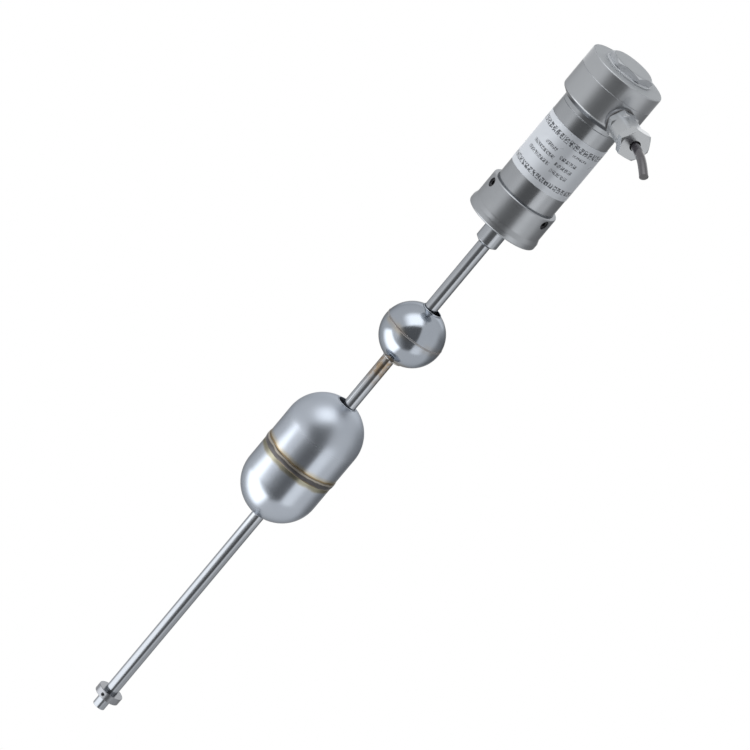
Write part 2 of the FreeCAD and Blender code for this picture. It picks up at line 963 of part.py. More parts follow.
def terminal_block():
    """Moulded block with a wire hole and a screw well for each core."""
    body = new_body("terminal_block")
    half_length = size.terminal_length / 2
    half_width = size.terminal_width / 2
    pad(body, [rectangle(-half_width, -half_length, half_width, half_length)], size.terminal_height)
    well = cut(
        body,
        [(0, first_terminal, size.terminal_screw_diameter + size.fixed_gap * 2)],
        size.terminal_well_depth,
        level=size.terminal_height,
        downward=True,
    )
    entry = cut(
        body,
        [(first_terminal, size.terminal_entry_rise, size.terminal_wire_hole)],
        half_width,
        plane="YZ_Plane",
    )
    repeat_along(body, [well, entry], "Y_Axis", size.terminal_pitch, size.terminal_count)
    place(body, x=-size.terminal_offset, z=plate_top)


def terminal_screws():
    """Clamping screws in the wells of the terminal block."""
    body = new_body("terminal_screws")
    radius = size.terminal_screw_diameter / 2
    screw = turn_outline(body, rod_outline(size.terminal_screw_diameter, 0, radius))
    repeat_along(body, [screw], "Y_Axis", size.terminal_pitch, size.terminal_count)
    place(
        body,
        x=-size.terminal_offset,
        y=first_terminal,
        z=plate_top + size.terminal_height - size.terminal_well_depth,
    )


def sensor_holder():
    """Moulded plug on the collar's web: it centres the rod's end and carries the coil and the board."""
    body = new_body("sensor_holder")
    entry = size.rod_entry - size.web_thickness + size.fixed_gap
    rod_room = size.rod_diameter / 2 + size.fixed_gap
    bore = size.sleeve_diameter / 2 + size.fixed_gap
    turn_outline(
        body,
        [
            (rod_room, 0),
            (barrel_bore / 2 - size.fixed_gap, 0),
            (barrel_bore / 2 - size.fixed_gap, size.holder_height),
            (bore, size.holder_height),
            (bore, entry),
            (rod_room, entry),
        ],
    )
    half_width = size.board_width / 2 + size.fixed_gap
    half_depth = size.board_thickness / 2 + size.fixed_gap
    near = board_offset - half_depth
    far = board_offset + half_depth
    slot = rectangle(-half_width, near, half_width, far)
    cut(body, [slot], size.slot_depth, level=size.holder_height, downward=True)
    cut(body, [return_hole], size.holder_height)
    place(body, z=barrel_bottom)


def coil_bobbin():
    """Spool for the pickup coil, on the holder."""
    flange = size.bobbin_diameter / 2
    core = size.bobbin_core / 2
    bore = size.sleeve_diameter / 2 + size.fixed_gap
    turned(
        "coil_bobbin",
        [
            (bore, 0),
            (flange, 0),
            (flange, size.bobbin_flange),
            (core, size.bobbin_flange),
            (core, size.bobbin_height - size.bobbin_flange),
            (flange, size.bobbin_height - size.bobbin_flange),
            (flange, size.bobbin_height),
            (bore, size.bobbin_height),
        ],
        z=holder_top,
    )


def pickup_coil():
    """Winding on the spool."""
    turned(
        "pickup_coil",
        tube_outline(
            size.bobbin_core + size.fixed_gap * 2,
            size.coil_diameter,
            size.bobbin_flange + size.fixed_gap,
            size.bobbin_height - size.bobbin_flange - size.fixed_gap,
        ),
        z=holder_top,
    )


def wave_damper():
    """Soft block that ends the waveguide above the coil."""
    bore = size.wire_diameter + size.fixed_gap * 2
    turned("wave_damper", tube_outline(bore, size.damper_diameter, 0, size.damper_height), z=bobbin_top)


def circuit_board():
    """Board standing in the holder's slot."""
    body = new_body("circuit_board")
    half_width = size.board_width / 2
    half_depth = size.board_thickness / 2
    pad(body, [rectangle(-half_width, -half_depth, half_width, half_depth)], size.board_height)
    place(body, y=board_offset, z=holder_top - size.slot_depth)


def board_chips():
    """Two flat packages on the board's inner face."""
    body = new_body("board_chips")
    half = size.chip_side / 2
    chip = pad(body, [rectangle(-half, -half, half, half)], size.chip_thickness, plane="XZ_Plane")
    repeat_along(body, [chip], "Z_Axis", size.chip_pitch, PAIR)
    place(
        body,
        y=board_offset - size.board_thickness / 2,
        z=holder_top + size.chip_rise,
    )


def board_capacitors():
    """Two round capacitors on the board's outer face."""
    body = new_body("board_capacitors")
    plan = [(0, 0, size.capacitor_diameter)]
    can = pad(body, plan, size.capacitor_length, plane="XZ_Plane", reverse=True)
    repeat_along(body, [can], "Z_Axis", size.capacitor_pitch, PAIR)
    place(
        body,
        y=board_offset + size.board_thickness / 2,
        z=holder_top + size.capacitor_rise,
    )


def rod_tube():
    """Guide rod: a long tube from the holder down to the end plug."""
    turned("rod_tube", tube_outline(rod_bore, size.rod_diameter, plug_top, size.rod_entry))


def end_plug():
    """Plug that closes the rod, with a spigot in its bore."""
    spigot = rod_bore / 2 - size.fixed_gap
    radius = size.rod_diameter / 2
    turned(
        "end_plug",
        [
            (0, 0),
            (radius - size.edge_break, 0),
            (radius, size.edge_break),
            (radius, size.plug_height),
            (spigot, size.plug_height),
            (spigot, size.plug_height + size.plug_spigot),
            (0, size.plug_height + size.plug_spigot),
        ],
        z=-size.probe_length,
    )


def end_damper():
    """Soft plug on the spigot that ends the waveguide below."""
    turned(
        "end_damper",
        tube_outline(
            size.wire_diameter + size.fixed_gap * 2,
            rod_bore - size.fixed_gap * 2,
            0,
            size.end_damper_height,
        ),
        z=spigot_top,
    )


def waveguide_wire():
    """Sensing wire on the rod's axis, from the lower damper to the upper one."""
    top = bobbin_top + size.damper_height
    turned("waveguide_wire", rod_outline(size.wire_diameter, spigot_top, top))


def waveguide_sleeve():
    """Insulating sleeve round the sensing wire."""
    turned(
        "waveguide_sleeve",
        tube_outline(size.sleeve_bore, size.sleeve_diameter, damper_top, bobbin_top),
    )


def return_wire():
    """Return conductor beside the sleeve, from the lower damper to the holder's top."""
    turned(
        "return_wire",
        rod_outline(size.return_diameter, damper_top, holder_top),
        x=size.return_offset,
    )


def guide_spacers():
    """Soft discs that keep the sleeve and the return wire in the middle of the rod."""
    body = new_body("guide_spacers")
    disc = pad(
        body,
        [
            (0, 0, rod_bore - size.fixed_gap * 2),
            (0, 0, size.sleeve_diameter + size.fixed_gap * 2),
        ],
        size.spacer_height,
    )
    hole = cut(body, [return_hole], size.spacer_height)
    lowest = damper_top + size.spacer_rise
    pitch = (-lowest - size.spacer_drop) / (size.spacer_count - 1)
    repeat_along(body, [disc, hole], "Z_Axis", pitch, size.spacer_count)
    place(body, z=lowest)


def stop_collar():
    """Collar that stops the floats above the rod's end, with a tapped hole for its screw."""
    body = new_body("stop_collar")
    outer = size.stop_diameter / 2
    bore = size.rod_diameter / 2 + size.fixed_gap
    turn_outline(
        body,
        [
            (bore, 0),
            (outer - size.stop_chamfer, 0),
            (outer, size.stop_chamfer),
            (outer, size.stop_height - size.stop_chamfer),
            (outer - size.stop_chamfer, size.stop_height),
            (bore, size.stop_height),
        ],
    )
    cut(body, [(0, size.stop_height / 2, size.stop_screw_diameter)], outer, plane="YZ_Plane")
    place(body, z=size.stop_rise - size.probe_length, turn=about_z(size.stop_screw_angle))


def stop_screw():
    """Set screw of the stop collar."""
    body = new_body("stop_screw")
    tip = size.rod_diameter / 2 + size.fixed_gap
    head = size.stop_diameter / 2 - size.stop_chamfer
    radius = size.stop_screw_diameter / 2 - size.fixed_gap
    socket = size.stop_socket_diameter / 2
    socket_floor = head - size.stop_socket_depth
    turn_outline(
        body,
        [
            (tip, 0),
            (socket_floor, 0),
            (socket_floor, socket),
            (head, socket),
            (head, radius),
            (tip, radius),
        ],
        axis="H_Axis",
    )
    place(
        body,
        z=size.stop_rise - size.probe_length + size.stop_height / 2,
        turn=about_z(size.stop_screw_angle),
    )


def lean_offset(bore):
    """How far a float lies off the rod's axis when it leans on the rod."""
    return bore / 2 - size.rod_diameter / 2 - size.moving_gap


def place_float(body, bore, lean, drop, turn=ALONG_Z):
    """Put a piece of a float beside the rod, in the direction in which the float leans."""
    offset = lean_offset(bore)
    angle = math.radians(lean.number)
    place(body, x=offset * math.cos(angle), y=offset * math.sin(angle), z=-drop, turn=turn)


def height_on_circle(radius, reach):
    """Height of a circle's point above its centre at a given distance from the axis."""
    number = math.sqrt(radius.number**2 - reach.number**2)
    return Size(number, f"sqrt({radius.formula} ^ 2 - {reach.formula} ^ 2)")


def float_shell(label, outside, inside, centre, hole, turn, where):
    """Part of a welded float: a dome about a centre on its axis, open at the seam and round the sleeve."""
    rim, radius = outside
    lip, inner = inside
    outline = list(rim)
    outline.append(Arc(0, centre, True, "x"))
    outline.append((hole, centre + height_on_circle(radius, hole)))
    outline.append((hole, centre + height_on_circle(inner, hole)))
    outline.append(Arc(0, centre, False, "y"))
    outline.extend(lip)
    body = new_body(label)
    turn_outline(body, outline)
    place_float(body, *where, turn=turn)


def ball_shell(label, centre, hole, turn, where):
    """Part of the ball on one side of the seam; the ball's centre stands above the seam or below it."""
    radius = size.ball_diameter / 2
    inner = radius - size.ball_wall
    seam = height_on_circle(radius, centre) + size.ball_seam_height
    half = size.ball_seam_width / 2
    rim = [
        (height_on_circle(inner, centre), 0),
        (seam, 0),
        (seam, half / 2),
        (height_on_circle(radius, half - centre), half),
    ]
    float_shell(label, (rim, radius), ([], inner), centre, hole, turn, where)


def ball_float():
    """Ball of two domes on a sleeve, with a ring magnet inside at its centre."""
    radius = size.ball_diameter / 2
    sleeve = size.ball_bore + size.ball_sleeve_wall * 2
    hole = sleeve / 2 + size.fixed_gap
    where = (size.ball_bore, size.ball_lean, size.ball_drop)
    seam_where = (size.ball_bore, size.ball_lean, size.ball_drop - size.ball_seam_rise)
    ball_shell("ball_upper_shell", -size.ball_seam_rise, hole, ALONG_Z, seam_where)
    ball_shell("ball_lower_shell", size.ball_seam_rise, hole, UPSIDE_DOWN, seam_where)
    end = height_on_circle(radius, hole) + size.ball_sleeve_lip
    tube = new_body("ball_sleeve")
    turn_outline(tube, tube_outline(size.ball_bore, sleeve, -end, end))
    place_float(tube, *where)
    magnet = new_body("ball_magnet")
    half = size.ball_magnet_height / 2
    turn_outline(magnet, tube_outline(hole * 2, size.ball_magnet_diameter, -half, half))
    place_float(magnet, *where)


def capsule_shell(label, straight, hole, turn, where):
    """Part of the capsule on one side of the seam: a dome on a straight wall."""
    radius = size.capsule_diameter / 2
    inner = radius - size.capsule_wall
    seam = radius + size.capsule_seam_height
    half = size.capsule_seam_width / 2
    rim = [
        (inner, 0),
        (seam, 0),
        (seam, half / 2),
        (radius, half),
        (radius, straight),
    ]
    float_shell(label, (rim, radius), ([(inner, straight)], inner), straight, hole, turn, where)


def capsule_float():
    """Capsule of two deep domes on a sleeve, with a ring magnet inside at its middle."""
    radius = size.capsule_diameter / 2
    straight = size.capsule_length / 2 - radius
    sleeve = size.capsule_bore + size.capsule_sleeve_wall * 2
    hole = sleeve / 2 + size.fixed_gap
    where = (size.capsule_bore, size.capsule_lean, size.capsule_drop)
    seam_where = (size.capsule_bore, size.capsule_lean, size.capsule_drop + size.capsule_seam_drop)
    capsule_shell("capsule_upper_shell", straight + size.capsule_seam_drop, hole, ALONG_Z, seam_where)
    capsule_shell("capsule_lower_shell", straight - size.capsule_seam_drop, hole, UPSIDE_DOWN, seam_where)
    end = straight + height_on_circle(radius, hole) + size.capsule_sleeve_lip
    tube = new_body("capsule_sleeve")
    turn_outline(tube, tube_outline(size.capsule_bore, sleeve, -end, end))
    place_float(tube, *where)
    magnet = new_body("capsule_magnet")
    half = size.capsule_magnet_height / 2
    turn_outline(magnet, tube_outline(hole * 2, size.capsule_magnet_diameter, -half, half))
    place_float(magnet, *where)


def check_document():
    """Stop if an object failed or a sub-part has no valid shape."""
    for item in doc.Objects:
        if "Invalid" in item.State or "Error" in item.State:
            raise RuntimeError(f"{item.Label} failed: {item.State}")
    for item in sub_parts:
        if item.Shape.isNull() or not item.Shape.isValid() or not item.Shape.Solids:
            raise RuntimeError(f"{item.Label} has no valid shape")


base_collar()
clamp_screws()
rod_neck()
barrel()
label()
head_casing()
lid()
lid_seal()
gland_washer()
gland_body()
gland_nut()
gland_seal()
cable()
cable_tail()
cable_cores()
terminal_plate()
plate_screws()
terminal_block()
terminal_screws()
sensor_holder()
coil_bobbin()
pickup_coil()
wave_damper()
circuit_board()
board_chips()
board_capacitors()
rod_tube()
end_plug()
end_damper()
waveguide_wire()
waveguide_sleeve()
return_wire()
guide_spacers()
stop_collar()
stop_screw()
ball_float()
capsule_float()

doc.recompute()
check_document()
os.makedirs("parts", exist_ok=True)
for item in sub_parts:
    item.Shape.exportStep(f"parts/{item.Label}.step")
    print("%-20s solids %d volume %.1f" % (item.Label, len(item.Shape.Solids), item.Shape.Volume))
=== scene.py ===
import json
import math

import bpy
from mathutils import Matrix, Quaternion, Vector


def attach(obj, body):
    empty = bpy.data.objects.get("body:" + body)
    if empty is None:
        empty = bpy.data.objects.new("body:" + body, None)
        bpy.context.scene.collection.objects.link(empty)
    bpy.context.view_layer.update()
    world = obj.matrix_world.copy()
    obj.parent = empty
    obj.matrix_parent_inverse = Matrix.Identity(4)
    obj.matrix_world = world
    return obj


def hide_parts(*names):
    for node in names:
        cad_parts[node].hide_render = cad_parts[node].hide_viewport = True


# Magnetostrictive level gauge. Metres, +Z up along the guide rod, the cable gland along +X.
# Sizes of the turned pieces are written in millimetres and scaled where a piece is made.

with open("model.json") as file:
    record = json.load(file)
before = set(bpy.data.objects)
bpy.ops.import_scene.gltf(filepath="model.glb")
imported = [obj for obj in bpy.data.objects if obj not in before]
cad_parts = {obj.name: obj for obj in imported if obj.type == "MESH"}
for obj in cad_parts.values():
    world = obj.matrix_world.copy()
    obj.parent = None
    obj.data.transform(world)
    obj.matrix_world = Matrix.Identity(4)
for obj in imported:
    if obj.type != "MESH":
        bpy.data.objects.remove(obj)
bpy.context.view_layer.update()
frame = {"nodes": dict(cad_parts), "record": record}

MM = 0.001

# The camera looks from the right of the gland and a little from above, tilted so that the rod lies across.
VIEW_AZIMUTH = 54.0
VIEW_ELEVATION = 17.2
VIEW_ROLL = 39.9
VIEW_DISTANCE = 5.0
VIEW_TARGET = Vector((0.0, 0.0, -0.1847))
SENSOR_WIDTH = 36.0
PICTURE_WIDTH = 750.0
FOCAL_LENGTH_PIXELS = 5523.0
CLIP_END = 100.0

# Fineness of turned pieces, of the rod and what goes round it, of small pieces and of a rounded edge.
FINE_STEPS = 160
STOP_STEPS = 128
ROD_STEPS = 96
SMALL_STEPS = 64
ROUNDING_SEGMENTS = 4
WELD_DISTANCE = 1e-6
SMOOTH_ANGLE = math.radians(32.0)
EDGE_ANGLE = math.radians(25.0)

# A hexagon's corners are turned down by a cone that reaches past them.
CORNER_REACH = 0.6
CORNER_SLOPE = math.radians(30.0)

AXIS_OF = {"X": Vector((1, 0, 0)), "Z": Vector((0, 0, 1))}
TILT_OF = {"X": (0.0, math.pi / 2, 0.0), "Z": (0.0, 0.0, 0.0)}


def set_camera():
    azimuth = math.radians(VIEW_AZIMUTH)
    elevation = math.radians(VIEW_ELEVATION)
    back = Vector(
        (
            math.sin(azimuth) * math.cos(elevation),
            -math.cos(azimuth) * math.cos(elevation),
            math.sin(elevation),
        )
    )
    bpy.ops.object.camera_add(location=VIEW_TARGET + back * VIEW_DISTANCE)
    camera = bpy.context.object
    camera.rotation_mode = "QUATERNION"
    roll = Quaternion((0, 0, 1), math.radians(VIEW_ROLL))
    camera.rotation_quaternion = (-back).to_track_quat("-Z", "Y") @ roll
    camera.data.sensor_width = SENSOR_WIDTH
    camera.data.lens = FOCAL_LENGTH_PIXELS / PICTURE_WIDTH * SENSOR_WIDTH
    camera.data.clip_end = CLIP_END
    bpy.context.scene.camera = camera


# Cable stub, out of the gland's seal to its cut end.
CABLE_DIAMETER = 0.0084
CABLE_SEGMENTS = 16
CABLE_ROUNDNESS = 10
CABLE_ROUTE = (
    (0.06715, 0.0, 0.14910),
    (0.08800, 0.0, 0.14910),
    (0.10350, 0.0, 0.14640),
    (0.11750, 0.0, 0.14050),
)


def lay_cable():
    curve = bpy.data.curves.new("cable_sheath", "CURVE")
    curve.dimensions = "3D"
    spline = curve.splines.new("NURBS")
    spline.points.add(len(CABLE_ROUTE) - 1)
    for point, place in zip(spline.points, CABLE_ROUTE):
        point.co = (*place, 1.0)
    spline.order_u = 3
    spline.use_endpoint_u = True
    spline.resolution_u = CABLE_SEGMENTS
    curve.bevel_depth = CABLE_DIAMETER / 2
    curve.bevel_resolution = CABLE_ROUNDNESS
    curve.use_fill_caps = True
    cable = bpy.data.objects.new("cable_sheath", curve)
    bpy.context.scene.collection.objects.link(cable)
    cable.data.materials.append(sheath_rubber)
    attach(cable, "head")
    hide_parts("cable")


def select_only(piece):
    bpy.ops.object.select_all(action="DESELECT")
    piece.select_set(True)
    bpy.context.view_layer.objects.active = piece


def new_piece(name):
    """Name the primitive that was just added and put its place into its mesh."""
    piece = bpy.context.object
    piece.name = name
    piece.data.name = name
    bpy.ops.object.transform_apply(location=True, rotation=True, scale=True)
    return piece


def apply_modifier(piece, kind, **settings):
    """Put the result of a modifier into a piece's mesh."""
    modifier = piece.modifiers.new(kind.lower(), kind)
    for name, value in settings.items():
        setattr(modifier, name, value)
    select_only(piece)
    bpy.ops.object.modifier_apply(modifier=modifier.name)


def edit_all(piece):
    select_only(piece)
    bpy.ops.object.mode_set(mode="EDIT")
    bpy.ops.mesh.select_all(action="SELECT")


def close_up():
    """Merge what meets, turn the faces outwards and go back to object mode."""
    bpy.ops.mesh.select_all(action="SELECT")
    bpy.ops.mesh.remove_doubles(threshold=WELD_DISTANCE)
    bpy.ops.mesh.normals_make_consistent(inside=False)
    bpy.ops.object.mode_set(mode="OBJECT")


def turn(name, stations, centre=(0, 0, 0), axis="Z", steps=FINE_STEPS, solid=False):
    """Turn a piece about an axis: a ring is extruded from one (radius, height) station to the next.

    A third number is the rounding of that edge. A hollow piece closes on its first station,
    and a solid one gets a face at each end.
    """
    along = AXIS_OF[axis]
    start = Vector(centre) * MM
    rings = [(row[0] * MM, row[1] * MM, row[2] if len(row) > 2 else 0.0) for row in stations]
    widest = max(rounding for radius, height, rounding in rings)
    if not solid:
        rings.append((*rings[0][:2], 0.0))
    radius, height, rounding = rings[0]
    bpy.ops.object.select_all(action="DESELECT")
    bpy.ops.mesh.primitive_circle_add(
        vertices=steps,
        radius=radius,
        location=start + along * height,
        rotation=TILT_OF[axis],
        fill_type="NGON" if solid else "NOTHING",
    )
    piece = new_piece(name)
    edit_all(piece)
    bpy.ops.mesh.select_mode(type="EDGE")
    bpy.ops.mesh.select_all(action="SELECT")
    if rounding:
        bpy.ops.transform.edge_bevelweight(value=rounding / widest)
    for next_radius, next_height, next_rounding in rings[1:]:
        bpy.ops.mesh.extrude_edges_move(
            TRANSFORM_OT_translate={"value": along * (next_height - height)}
        )
        grow = next_radius / radius
        scale = Vector((grow, grow, grow)) + along * (1.0 - grow)
        bpy.ops.transform.resize(value=scale, center_override=start + along * next_height)
        if next_rounding != rounding:
            bpy.ops.transform.edge_bevelweight(value=(next_rounding - rounding) / widest)
        radius, height, rounding = next_radius, next_height, next_rounding
    if solid:
        bpy.ops.mesh.edge_face_add()
    close_up()
    if widest:
        round_marked(piece, widest)
    return piece


def round_marked(piece, width):
    """Round the edges that carry a bevel weight."""
    apply_modifier(
        piece,
        "BEVEL",
        width=width * MM,
        segments=ROUNDING_SEGMENTS,
        limit_method="WEIGHT",
        use_clamp_overlap=False,
    )


def cut_with(piece, cutter, operation="DIFFERENCE"):
    """Cut a piece by another, join it on, or keep what both share."""
    apply_modifier(piece, "BOOLEAN", operation=operation, solver="EXACT", object=cutter)
    bpy.data.objects.remove(cutter, do_unlink=True)


def break_edges(piece, width, segments):
    """Round the sharp edges of a piece."""
    apply_modifier(
        piece,
        "BEVEL",
        width=width * MM,
        segments=segments,
        limit_method="ANGLE",
        angle_limit=EDGE_ANGLE,
        use_clamp_overlap=True,
    )


def spin_about(piece, axis, degrees, centre=(0, 0, 0)):
    """Turn a piece that was made about the origin, then set it in its place."""
    piece.rotation_euler = AXIS_OF[axis] * math.radians(degrees)
    piece.location = Vector(centre) * MM
    select_only(piece)
    bpy.ops.object.transform_apply(location=True, rotation=True, scale=True)
    return piece


def hexagon_bar(name, flats, low, high, chamfer, axis="Z", spin=0.0, centre=(0, 0, 0)):
    """Hexagonal bar whose corners are turned down to a cone at both ends."""
    bpy.ops.object.select_all(action="DESELECT")
    bpy.ops.mesh.primitive_cylinder_add(
        vertices=6,
        radius=flats / math.sqrt(3.0) * MM,
        depth=(high - low) * MM,
        location=AXIS_OF[axis] * (low + high) / 2 * MM,
        rotation=TILT_OF[axis],
    )
    bar = new_piece(name)
    edge = flats / 2 - chamfer
    reach = flats * CORNER_REACH
    drop = (reach - edge) * math.tan(CORNER_SLOPE)
    cone = turn(
        "cone",
        [(edge, low), (reach, low + drop), (reach, high - drop), (edge, high)],
        axis=axis,
        solid=True,
    )
    cut_with(bar, cone, "INTERSECT")
    return spin_about(bar, axis, spin, centre)


def radial_cutter(radius, low, high, degrees, height, corners=SMALL_STEPS):
    """Bar that points outwards from the axis at an angle and a height."""
    bpy.ops.object.select_all(action="DESELECT")
    bpy.ops.mesh.primitive_cylinder_add(
        vertices=corners,
        radius=radius * MM,
        depth=(high - low) * MM,
        location=((low + high) / 2 * MM, 0, 0),
        rotation=TILT_OF["X"],
    )
    return spin_about(new_piece("cutter"), "Z", degrees, (0, 0, height))


def fit(piece, body, slot, material, *replaced, domed=False):
    """Give a finished piece its shading, its finish, its body and the solids that it stands for.

    The shading of a turned piece follows its long faces, and that of a domed one runs on over them.
    """
    select_only(piece)
    bpy.ops.object.shade_smooth_by_angle(angle=SMOOTH_ANGLE)
    if not domed:
        apply_modifier(piece, "WEIGHTED_NORMAL", keep_sharp=True)
    piece.data.materials.clear()
    piece.data.materials.append(material)
    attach(piece, body)
    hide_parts(*replaced)


# Range of the noise from which a finish's lines and mottling are taken, and the depth of its bumps.
GRAIN_RANGE = (0.25, 0.75)
MOTTLE_RANGE = (0.2, 0.8)
MOTTLE_SPREAD = 0.06
METAL_DEPTH = 0.0002
PLAIN_DEPTH = 0.0001


class Finish:
    """A material's node tree, with short ways to add and join nodes."""

    def __init__(self, name):
        self.material = bpy.data.materials.new(name)
        self.material.use_nodes = True
        self.tree = self.material.node_tree
        self.shader = self.tree.nodes["Principled BSDF"]
        self.place = self.node("ShaderNodeTexCoord").outputs["Object"]
        self.lines = None

    def node(self, kind, **settings):
        made = self.tree.nodes.new(kind)
        for name, value in settings.items():
            setattr(made, name, value)
        return made

    def join(self, output, socket):
        self.tree.links.new(output, socket)

    def set(self, **values):
        for name, value in values.items():
            self.shader.inputs[name.replace("_", " ").title()].default_value = value

    def stretched(self, scale):
        mapping = self.node("ShaderNodeMapping")
        mapping.inputs["Scale"].default_value = scale
        self.join(self.place, mapping.inputs["Vector"])
        return mapping.outputs["Vector"]

    def noise(self, scale, detail=4.0, roughness=0.5, vector=None):
        made = self.node("ShaderNodeTexNoise")
        made.inputs["Scale"].default_value = scale
        made.inputs["Detail"].default_value = detail
        made.inputs["Roughness"].default_value = roughness
        self.join(vector or self.place, made.inputs["Vector"])
        return made.outputs["Fac"]

    def span(self, value, low, high, to_low, to_high):
        """Map a range of values to another, with soft ends."""
        made = self.node("ShaderNodeMapRange", interpolation_type="SMOOTHSTEP")
        made.inputs["From Min"].default_value = low
        made.inputs["From Max"].default_value = high
        made.inputs["To Min"].default_value = to_low
        made.inputs["To Max"].default_value = to_high
        self.join(value, made.inputs["Value"])
        return made.outputs["Result"]

    def calc(self, operation, first, second):
        made = self.node("ShaderNodeMath", operation=operation)
        for socket, value in zip(made.inputs, (first, second)):
            if isinstance(value, (int, float)):
                socket.default_value = value
            else:
                self.join(value, socket)
        return made.outputs["Value"]

    def blend(self, factor, first, second):
        made = self.node("ShaderNodeMix", data_type="RGBA")
        self.join(factor, made.inputs[0])
        for socket, value in ((made.inputs[6], first), (made.inputs[7], second)):
            if isinstance(value, tuple):
                socket.default_value = (*value, 1.0)
            else:
                self.join(value, socket)
        return made.outputs[2]

    def height(self):
        parts = self.node("ShaderNodeSeparateXYZ")
        self.join(self.place, parts.inputs["Vector"])
        return parts.outputs["Z"]

    def away_from(self, value, middle):
        return self.calc("ABSOLUTE", self.calc("SUBTRACT", value, middle), 0.0)

    def between(self, value, low, high, fade):
        """1 between two values, fading to 0 outside them."""
        rising = self.span(value, low - fade, low, 0.0, 1.0)
        falling = self.span(value, high, high + fade, 1.0, 0.0)
        return self.calc("MULTIPLY", rising, falling)

    def colour(self, output):
        self.join(output, self.shader.inputs["Base Color"])

    def tint(self, factor, colour):
        """Lay a colour over the one that the finish has so far."""
        under = self.shader.inputs["Base Color"].links[0].from_socket
        self.colour(self.blend(factor, under, colour))

    def along_grain(self, low, high):
        """A value that follows the metal's lines."""
        return self.span(self.lines, *GRAIN_RANGE, low, high)

    def rough(self, output):
        self.join(output, self.shader.inputs["Roughness"])

    def bump(self, height, strength, distance):
        made = self.node("ShaderNodeBump")
        made.inputs["Strength"].default_value = strength
        made.inputs["Distance"].default_value = distance
        self.join(height, made.inputs["Height"])
        self.join(made.outputs["Normal"], self.shader.inputs["Normal"])


def metal(name, dark, light, roughness, grain, bump=0.15, cloud=60.0, edge=1.0):
    """A bare metal: a cloudy tone, fine grain along the tool's path and an edge tone.

    The roughness is a range that follows the grain. The edge is the share of light at grazing angles.
    """
    finish = Finish(name)
    finish.set(metallic=1.0, specular_tint=(edge, edge, edge, 1.0))
    clouds = finish.noise(cloud, detail=3.0)
    finish.colour(finish.blend(clouds, dark, light))
    finish.lines = finish.noise(1.0, detail=6.0, roughness=0.65, vector=finish.stretched(grain))
    finish.rough(finish.along_grain(*roughness))
    finish.bump(finish.lines, bump, METAL_DEPTH)
    return finish


def plain(name, dark, light, roughness, cloud=300.0, bump=0.1):
    """A moulded or rubber surface: slight mottling and a fine grain."""
    finish = Finish(name)
    mottle = finish.noise(cloud, detail=5.0)
    finish.colour(finish.blend(mottle, dark, light))
    finish.rough(finish.span(mottle, *MOTTLE_RANGE, roughness - MOTTLE_SPREAD, roughness + MOTTLE_SPREAD))
    grain = finish.noise(cloud * 8.0, detail=2.0)
    finish.bump(grain, bump, PLAIN_DEPTH)
    return finish


CABLE_COAT_INDEX = 1.65


def cable_rubber():
    """Smooth sheath with a gloss."""
    finish = plain("cable_rubber", (0.026, 0.024, 0.03), (0.042, 0.039, 0.047), 0.28, bump=0.02)
    finish.set(coat_weight=1.0, coat_roughness=0.06)
    finish.shader.inputs["Coat IOR"].default_value = CABLE_COAT_INDEX
    return finish.material


# Label: heights, radius under it, and the angles from which and by which it is wrapped.
LABEL_LOW = 55.0
LABEL_HIGH = 113.7
LABEL_RADIUS = 30.95
LABEL_THICKNESS = 0.25
LABEL_START = 161.0
LABEL_WRAP = 326.0
LABEL_STEPS = 144

# Floats: height of the middle, where the seam lies, and how far they lean off the rod.
BALL_HEIGHT = -132.8
BALL_SEAM_RISE = 4.2
BALL_LEAN = (54.0, 2.35)
CAPSULE_HEIGHT = -289.8
CAPSULE_SEAM_DROP = 1.5
CAPSULE_LEAN = (-126.0, 2.55)

# How many lines to the metre a tool leaves along each axis.
TURNED_GRAIN = (40.0, 40.0, 2600.0)
ROD_GRAIN = (1500.0, 1500.0, 25.0)
POLISHED_GRAIN = (120.0,) * 3
PLATED_GRAIN = (400.0,) * 3
SINTERED_GRAIN = (700.0,) * 3
CAST_GRAIN = (900.0,) * 3

# Heights in metres between which a finish changes.
COLLAR_RIM = (0.0352, 0.0354)
# Span of the shoulder under the casing that carries painted shade.
SHOULDER_PAINTED_SHADE = (0.1332, 0.1380)
CASING_FOOT = (0.1375, 0.1385)
LID_RIM = (0.1803, 0.1812)
# Span of the lid boss's flats that carry painted light.
BOSS_FLATS_PAINTED_LIGHT = (0.1820, 0.1884)
ROD_STAIN = (-0.175, -0.150)
LOWER_ROD = (-0.40, -0.34)
BALL_FOOT = (-0.1625, -0.152)


def head_finish():
    """Turned steel with painted shade on the shoulder under the casing, rougher on the casing and the
    collar.
    """
    finish = metal(
        "turned_steel",
        dark=(0.40, 0.42, 0.445),
        light=(0.445, 0.465, 0.49),
        roughness=(0.17, 0.23),
        grain=TURNED_GRAIN,
        bump=0.04,
        edge=0.6,
    )
    height = finish.height()
    finish.tint(finish.span(height, *CASING_FOOT, 0.0, 1.0), (0.485, 0.505, 0.53))
    # Painted shade: the shoulder under the casing is darkened where it lies in the casing's shade.
    finish.tint(finish.between(height, *SHOULDER_PAINTED_SHADE, 0.0007), (0.25, 0.26, 0.275))
    casing = finish.span(height, *CASING_FOOT, 0.17, 0.28)
    collar = finish.span(height, *COLLAR_RIM, 0.10, 0.0)
    finish.rough(finish.calc("ADD", finish.calc("ADD", casing, collar), finish.along_grain(0.0, 0.06)))
    return finish.material


